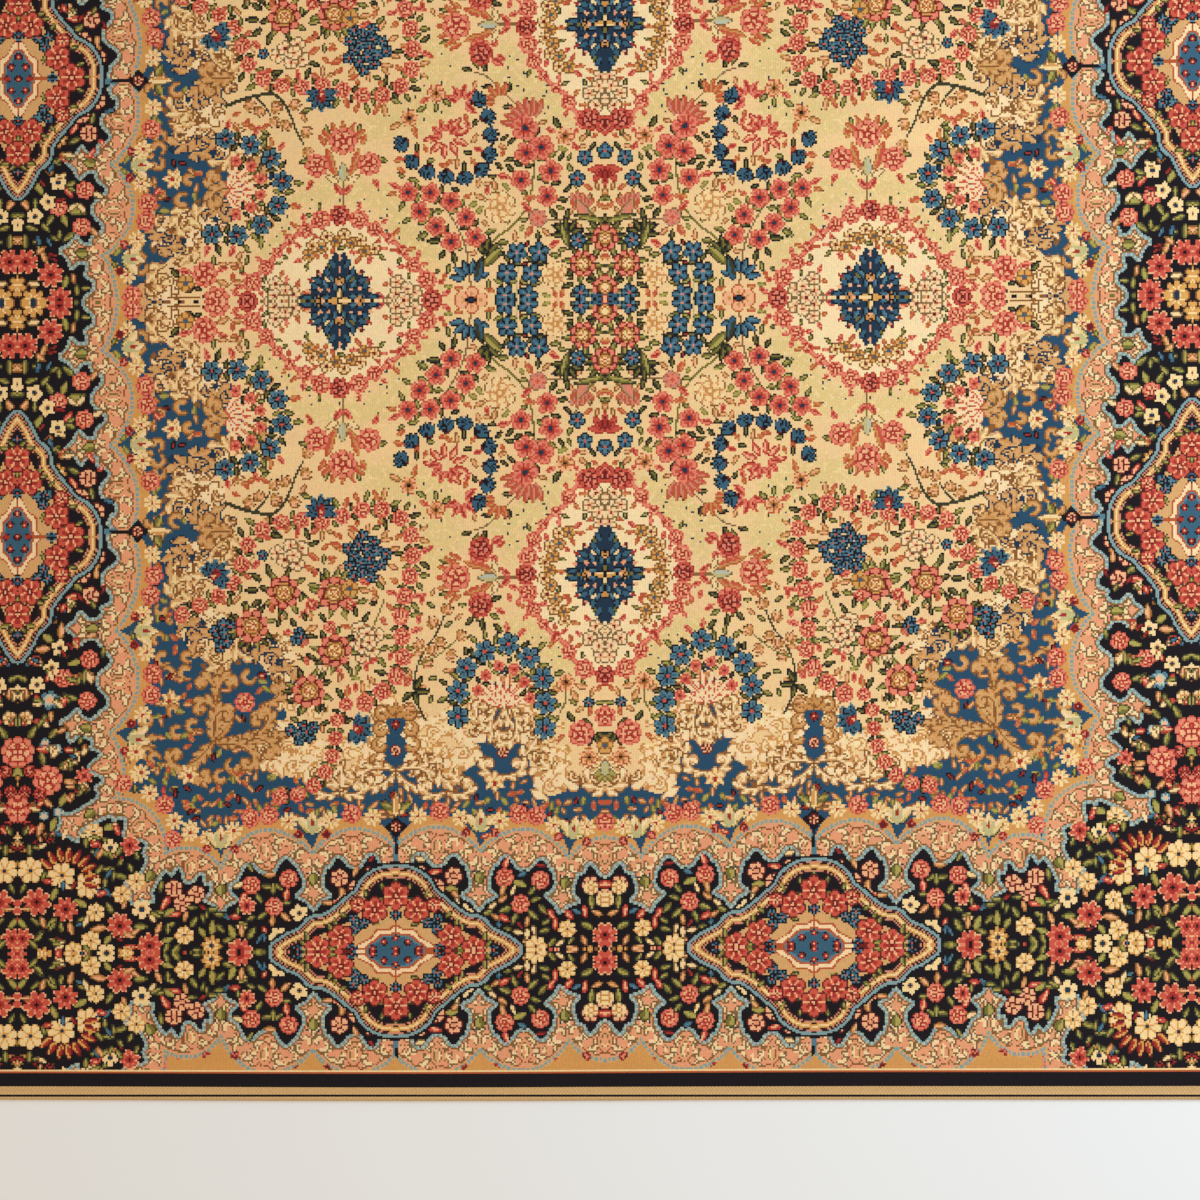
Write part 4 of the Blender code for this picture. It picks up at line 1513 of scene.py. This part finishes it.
class Finish:
    """A material under construction."""

    def __init__(self, name, roughness, sheen, sheen_tint):
        self.material = bpy.data.materials.new(name)
        self.material.use_nodes = True
        self.tree = self.material.node_tree
        self.tree.nodes.clear()
        self.shader = self.tree.nodes.new("ShaderNodeBsdfPrincipled")
        surface = self.tree.nodes.new("ShaderNodeOutputMaterial")
        self.tree.links.new(self.shader.outputs[0], surface.inputs["Surface"])
        for socket, value in (("Roughness", roughness), ("Specular IOR Level", 0.25), ("Sheen Weight", sheen),
                              ("Sheen Roughness", 0.45), ("Sheen Tint", (*sheen_tint, 1))):
            self.shader.inputs[socket].default_value = value

    def node(self, kind, settings=None, *inputs, output=0, **named):
        """Makes a node, applies its settings, then fills its sockets in order (None is left) and by name."""
        made = self.tree.nodes.new(kind)
        for setting, value in (settings or {}).items():
            setattr(made, setting, value)
        for place, value in [*enumerate(inputs), *named.items()]:
            if isinstance(value, Wire):
                self.tree.links.new(value.socket, made.inputs[place])
            elif value is not None:
                made.inputs[place].default_value = value
        return Wire(self, made.outputs[output])

    def object_place(self):
        """The place on the piece, in metres."""
        return self.node("ShaderNodeTexCoord", output="Object")

    def map_place(self, name):
        """The place on one of the piece's flat maps."""
        return self.node("ShaderNodeUVMap", {"uv_map": name}, output="UV")

    def parts(self, vector):
        split = self.node("ShaderNodeSeparateXYZ", None, vector)
        return split["X"], split["Y"], split["Z"]

    def point(self, x, y, z=0.0):
        return self.node("ShaderNodeCombineXYZ", None, x, y, z)

    def noise(self, vector, scale, detail=2.0, roughness=0.5):
        named = {"Vector": vector, "Scale": scale, "Detail": detail, "Roughness": roughness}
        return self.node("ShaderNodeTexNoise", **named, output="Fac")

    def speckle(self, vector, output="Value"):
        return self.node("ShaderNodeTexWhiteNoise", {"noise_dimensions": "2D"}, Vector=vector, output=output)

    def blend(self, share, one, other):
        """Mixes two colours by share."""
        return self.node("ShaderNodeMix", {"data_type": "RGBA"}, share, *[None] * 5, one, other, output=2)

    def tinted(self, colour, shade):
        """The colour times another colour."""
        return self.node("ShaderNodeVectorMath", {"operation": "MULTIPLY"}, colour, shade)

    def surface(self, colour, shade):
        """Base Color: the colour times a grey."""
        shaded = self.tinted(colour, self.point(shade, shade, shade))
        self.tree.links.new(shaded.socket, self.shader.inputs["Base Color"])

    def bump(self, height, distance, strength):
        """Normal: tilted by the slope of a height."""
        made = self.node("ShaderNodeBump", Strength=strength, Distance=distance, Height=height)
        self.tree.links.new(made.socket, self.shader.inputs["Normal"])

    def wave(self, value):
        """Sine of the value in turns."""
        return (value * (2 * math.pi)).maths("SINE")


def linear(tone):
    """A yarn's tone, 0 to 255 as seen, as the shader's own light values."""
    share = np.asarray(tone, float) / 255
    return tuple(np.where(share < 0.04045, share / 12.92, ((share + 0.055) / 1.055) ** 2.4))


def wool(colours, name):
    """The add-on's colour for a yarn, as a shader's socket takes it."""
    return (*getattr(colours, name), 1)


def pile_finish(colours):
    """Wool pile: each knot takes the yarn its face names, a little lighter or darker than its neighbours.

    Its sides are ragged by noise where the tufts meet, dye bands run along the rows, and each tuft is a
    cushion (a product of two sines) of fibres for the light to catch.
    """
    finish = Finish("knotted_wool_pile", 0.88, 0.04, (1.0, 0.93, 0.82))
    place = finish.map_place("knots")
    across, along, _ = finish.parts(place)
    fray_x = (finish.noise(place, 2.3, 1.0) - 0.5) * 0.5
    fray_y = (finish.noise(finish.point(along, across), 2.1, 1.0) - 0.5) * 0.5
    inside_x, inside_y = (
        (way % QUAD_KNOTS + fray).maths("MAXIMUM", 0.001).maths("MINIMUM", QUAD_KNOTS - 0.001)
        for way, fray in ((across, fray_x), (along, fray_y))
    )

    def pick(first, second, third, inside):
        """One of three values, by which third the place inside the face lies in."""
        return first + (second - first) * (inside > 1) + (third - second) * (inside > 2)

    names = [{"attribute_name": name} for name in YARN_LINES]
    lines = [finish.parts(finish.node("ShaderNodeAttribute", name, output="Vector")) for name in names]
    yarn = pick(*(pick(*column, inside_y) for column in zip(*lines)), inside_x)
    ramp = finish.node("ShaderNodeValToRGB", None, (yarn + 0.5) / len(YARNS))
    stops = ramp.socket.node.color_ramp
    stops.interpolation = "CONSTANT"
    for number, name in enumerate(YARNS):
        stop = stops.elements[number] if number < 2 else stops.elements.new(number / len(YARNS))
        stop.position = number / len(YARNS)
        stop.color = wool(colours, name)
    whole = finish.point((across + fray_x).maths("FLOOR"), (along + fray_y).maths("FLOOR"))
    spread, base = (0.16, 0.14, 0.16), (0.90, 0.905, 0.89)
    tone = finish.node(
        "ShaderNodeVectorMath", {"operation": "MULTIPLY_ADD"}, finish.speckle(whole, "Color"), spread, base
    )
    lot = finish.noise(finish.point(across * 0.02, along * 0.22), 0.55, 2.0)
    patch = finish.noise(place, 0.012, 3.0)
    fibre = finish.noise(place, 3.4, 3.0, 0.7)
    finish.surface(finish.tinted(ramp, tone), 0.78 + lot * 0.14 + patch * 0.12 + fibre * 0.22)
    dome = finish.wave(across * 0.5).maths("ABSOLUTE") * finish.wave(along * 0.5).maths("ABSOLUTE")
    finish.bump(dome * 0.5 + fibre * 0.9 + finish.noise(place, 0.6, 2.0) * 0.6, 0.0006, 0.7)
    return finish.material


def flat_weave_finish(colours):
    """The ends' flat weave: ivory wefts packed over the warps, one wool line of navy along the strip."""
    finish = Finish("flat_woven_end", 0.9, 0.10, (1.0, 0.95, 0.86))
    place = finish.object_place()
    across, along, _ = finish.parts(place)
    picks = finish.wave(along / 0.0011)
    warps = finish.wave(across / 0.0035 + (along / 0.0022).maths("FLOOR") * 0.5)
    fibre = finish.noise(place, 1900, 3.0, 0.7)
    from_middle = along.maths("ABSOLUTE")
    line = (from_middle > HALF_LENGTH - 0.0052) * (from_middle < HALF_LENGTH - 0.0030)
    ground = finish.blend(fibre, wool(colours, "sand"), wool(colours, "straw"))
    ground = finish.blend(line, ground, wool(colours, "navy"))
    # painted shade: the colour darkens where the picks and warps dip, in step with their bump below
    finish.surface(ground, 0.80 + picks * 0.06 + warps * 0.08 + fibre * 0.2)
    finish.bump(picks * 0.5 + warps * 0.7 + fibre * 0.5, 0.0003, 0.8)
    return finish.material


def underside_finish(colours):
    """The back: rows of knot nodes in undyed wool and cotton."""
    finish = Finish("woven_back", 0.92, 0.06, (1.0, 0.95, 0.86))
    place = finish.object_place()
    across, along, _ = finish.parts(place)
    nodes = finish.wave(across / KNOT) * 0.5 + finish.wave(along / KNOT)
    fibre = finish.noise(place, 1500, 3.0, 0.7)
    ground = finish.blend(finish.noise(place, 9, 3.0), wool(colours, "sand"), wool(colours, "taupe"))
    # painted shade: the colour darkens between the knot nodes, in step with their bump below
    finish.surface(ground, 0.8 + nodes * 0.08 + fibre * 0.2)
    finish.bump(nodes + fibre * 0.4, 0.0003, 0.7)
    return finish.material


def cord_finish(colours):
    """Overcast wool: dark blue yarn wound round the edge; across each turn its colour has a painted highlight
    where the plies catch the light and painted shade in the groove between turns.
    """
    finish = Finish("overcast_wool", 0.85, 0.14, (0.9, 0.93, 1.0))
    along, around, _ = finish.parts(finish.map_place("wool"))
    turn = along - around
    ply = finish.wave(turn * 3)
    groove_shade = finish.wave(turn)
    fibre = finish.noise(finish.point(turn * 6, around * 4), 3.0, 3.0, 0.7)
    lot = finish.speckle(finish.point((turn + 0.25).maths("FLOOR"), 0.0))
    base = finish.blend(fibre, wool(colours, "navy"), wool(colours, "ink"))
    # painted shade and highlight: the colour darkens in the groove between turns and lightens along the ply
    # ridges; lot is a random tone per turn
    finish.surface(base, 1.0 + groove_shade * 0.18 + ply * 0.08 + lot * 0.35)
    finish.bump(ply * 0.4 + fibre, 0.0003, 0.7)
    return finish.material


def floor_finish(tone):
    """A pale matt floor, very slightly mottled."""
    finish = Finish("pale_floor", 0.85, 0.0, (1, 1, 1))
    finish.surface(tuple(tone), 0.985 + finish.noise(finish.object_place(), 2.0, 3.0) * 0.03)
    return finish.material


# --- the add-on ----------------------------------------------------------------
# The floor's grid, in metres; the place that the lamps point at; the camera's sensor in millimetres, and the
# width and middle of what it sees, in metres.
FLOOR_REACH = 24.0
FLOOR_LINES = 13
FLOOR_Z = -0.0003
LIT_SPOT = (0, -0.2, 0)
SENSOR = 36.0
FRAME_WIDTH = 1.2
FRAME_MIDDLE = ((600.0 - MIDDLE[0]) / 1000, (MIDDLE[1] - 600.0) / 1000)


def length_property(name, description, default):
    """A setting in metres."""
    return FloatProperty(name=name, description=description, default=default, unit="LENGTH")


def colour_property(name, description, default):
    """A setting that is a colour."""
    words = {"name": name, "description": description}
    return FloatVectorProperty(**words, default=default, subtype="COLOR", min=0, max=1)


class RugSizes(bpy.types.PropertyGroup):
    """Sizes of the rug that a user may change."""

    pile_top: length_property("Pile top", "Height of the pile's top above the floor", PILE_TOP)
    rim_top: length_property("Rim top", "Height of the pile at its outermost knots", RIM_TOP)
    roll_height: length_property("Roll", "How far the pile's top rolls up and down", 0.0004)
    wrap_pitch: length_property("Wrap pitch", "Distance between turns of the side cords' wool", 0.0022)


class RugColours(bpy.types.PropertyGroup):
    """The dyed yarns."""

    __annotations__ = {
        name: colour_property(name.capitalize(), f"The {name} wool", linear(tone))
        for name, tone in YARNS.items()
    }


class RugStudio(bpy.types.PropertyGroup):
    """The floor, light and camera."""

    floor_tone: colour_property("Floor", "The floor's colour", (0.80, 0.83, 0.86))
    sky: FloatProperty(name="Sky", description="Strength of the light from all round", default=0.61, min=0)
    window: FloatProperty(name="Window", description="Strength of the large soft light", default=68.0, min=0)
    sky_tone: colour_property("Sky Tone", "Colour of the light from all round", (1.0, 0.80, 0.60))
    window_tone: colour_property("Window Tone", "Colour of the large soft light", (0.64, 0.84, 1.0))
    focal: FloatProperty(
        name="Focal length", description="The camera's focal length in millimetres", default=100.0, min=1
    )


def aim(place, target):
    """The turn that points a lamp's -Z axis from its place to the target."""
    return Vector(np.subtract(target, place)).to_track_quat("-Z", "Y")


class RUG_OT_body(bpy.types.Operator):
    """Weave the rug's body: knotted pile, flat-woven ends and plain back"""

    bl_idname = "persian_rug.body"
    bl_label = "Weave Body"

    def execute(self, context):
        scene = context.scene
        mesh = body_mesh(scene.rug_sizes)
        finishes = [make(scene.rug_colours) for make in (pile_finish, flat_weave_finish, underside_finish)]
        body = new_object("rug_body", mesh, finishes)
        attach(body, "root")
        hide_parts("rug")
        return {"FINISHED"}


class RUG_OT_cords(bpy.types.Operator):
    """Overcast both side edges with wool"""

    bl_idname = "persian_rug.side_cords"
    bl_label = "Overcast Sides"

    def execute(self, context):
        scene = context.scene
        finish = cord_finish(scene.rug_colours)
        for side, node in ((-1, "side_cord_left"), (1, "side_cord_right")):
            mesh = cord_mesh(side, scene.rug_sizes)
            cord = new_object(mesh.name, mesh, [finish])
            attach(cord, "root")
            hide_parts(node)
        body = bpy.data.objects["rug_body"]
        return {"FINISHED"}


class RUG_OT_studio(bpy.types.Operator):
    """Set the floor, the lights and the camera"""

    bl_idname = "persian_rug.studio"
    bl_label = "Set Studio"

    def execute(self, context):
        scene = context.scene
        studio = scene.rug_studio
        x, y = np.meshgrid(*[np.linspace(-FLOOR_REACH, FLOOR_REACH, FLOOR_LINES)] * 2)
        points = np.stack([x.ravel(), y.ravel(), np.full(x.size, FLOOR_Z)], -1)
        quads = grid_quads(np.arange(x.size).reshape(x.shape)).reshape(-1, 4)
        floor = new_object("floor", mesh_from_faces("floor", points, quads),
                           [floor_finish(studio.floor_tone)])

        world = bpy.data.worlds.new("soft_daylight")
        world.use_nodes = True
        background = world.node_tree.nodes["Background"]
        background.inputs["Color"].default_value = (*studio.sky_tone, 1)
        background.inputs["Strength"].default_value = studio.sky
        scene.world = world
        lamps = (
            ("window", (2.0, 0.3, 1.7), studio.window, 2.0, studio.window_tone),
            ("fill", (-1.2, -2.0, 3.0), studio.window * 0.22, 2.6, studio.sky_tone),
        )
        for name, spot, power, span, tone in lamps:
            light = bpy.data.lights.new(name, "AREA")
            light.energy = power
            light.color = tone
            light.size = span
            lamp = bpy.data.objects.new(name, light)
            lamp.location = spot
            lamp.rotation_mode = "QUATERNION"
            lamp.rotation_quaternion = aim(spot, LIT_SPOT)
            scene.collection.objects.link(lamp)

        camera = bpy.data.cameras.new("camera")
        camera.lens = studio.focal
        camera.sensor_width = SENSOR
        camera.clip_end = 50
        viewer = bpy.data.objects.new("camera", camera)
        viewer.location = (*FRAME_MIDDLE, PILE_TOP + FRAME_WIDTH * studio.focal / SENSOR)
        scene.collection.objects.link(viewer)
        scene.camera = viewer
        scene.view_settings.view_transform = "Standard"
        scene.view_settings.look = "None"
        return {"FINISHED"}


class RUG_PT_panel(bpy.types.Panel):
    """Lists the rug's pieces and settings"""

    bl_label = "Persian Rug"
    bl_idname = "RUG_PT_panel"
    bl_space_type = "VIEW_3D"
    bl_region_type = "UI"
    bl_category = "Persian Rug"

    def draw(self, context):
        scene = context.scene
        for operator in OPERATORS:
            self.layout.operator(operator.bl_idname)
        for group in (scene.rug_sizes, scene.rug_studio, scene.rug_colours):
            box = self.layout.box()
            for name in group.__annotations__:
                box.prop(group, name)


OPERATORS = (RUG_OT_body, RUG_OT_cords, RUG_OT_studio)
GROUPS = (("rug_sizes", RugSizes), ("rug_colours", RugColours), ("rug_studio", RugStudio))


def register():
    """Makes the settings, the operators and the panel known."""
    for name, group in GROUPS:
        bpy.utils.register_class(group)
        setattr(bpy.types.Scene, name, PointerProperty(type=group))
    for kind in (*OPERATORS, RUG_PT_panel):
        bpy.utils.register_class(kind)


def unregister():
    """Takes them away again in reverse order."""
    for kind in (RUG_PT_panel, *OPERATORS[::-1]):
        bpy.utils.unregister_class(kind)
    for name, group in GROUPS[::-1]:
        delattr(bpy.types.Scene, name)
        bpy.utils.unregister_class(group)


def main():
    """Builds every piece and the studio."""
    register()
    bpy.ops.persian_rug.body()
    bpy.ops.persian_rug.side_cords()
    bpy.ops.persian_rug.studio()


if __name__ == "__main__":
    main()
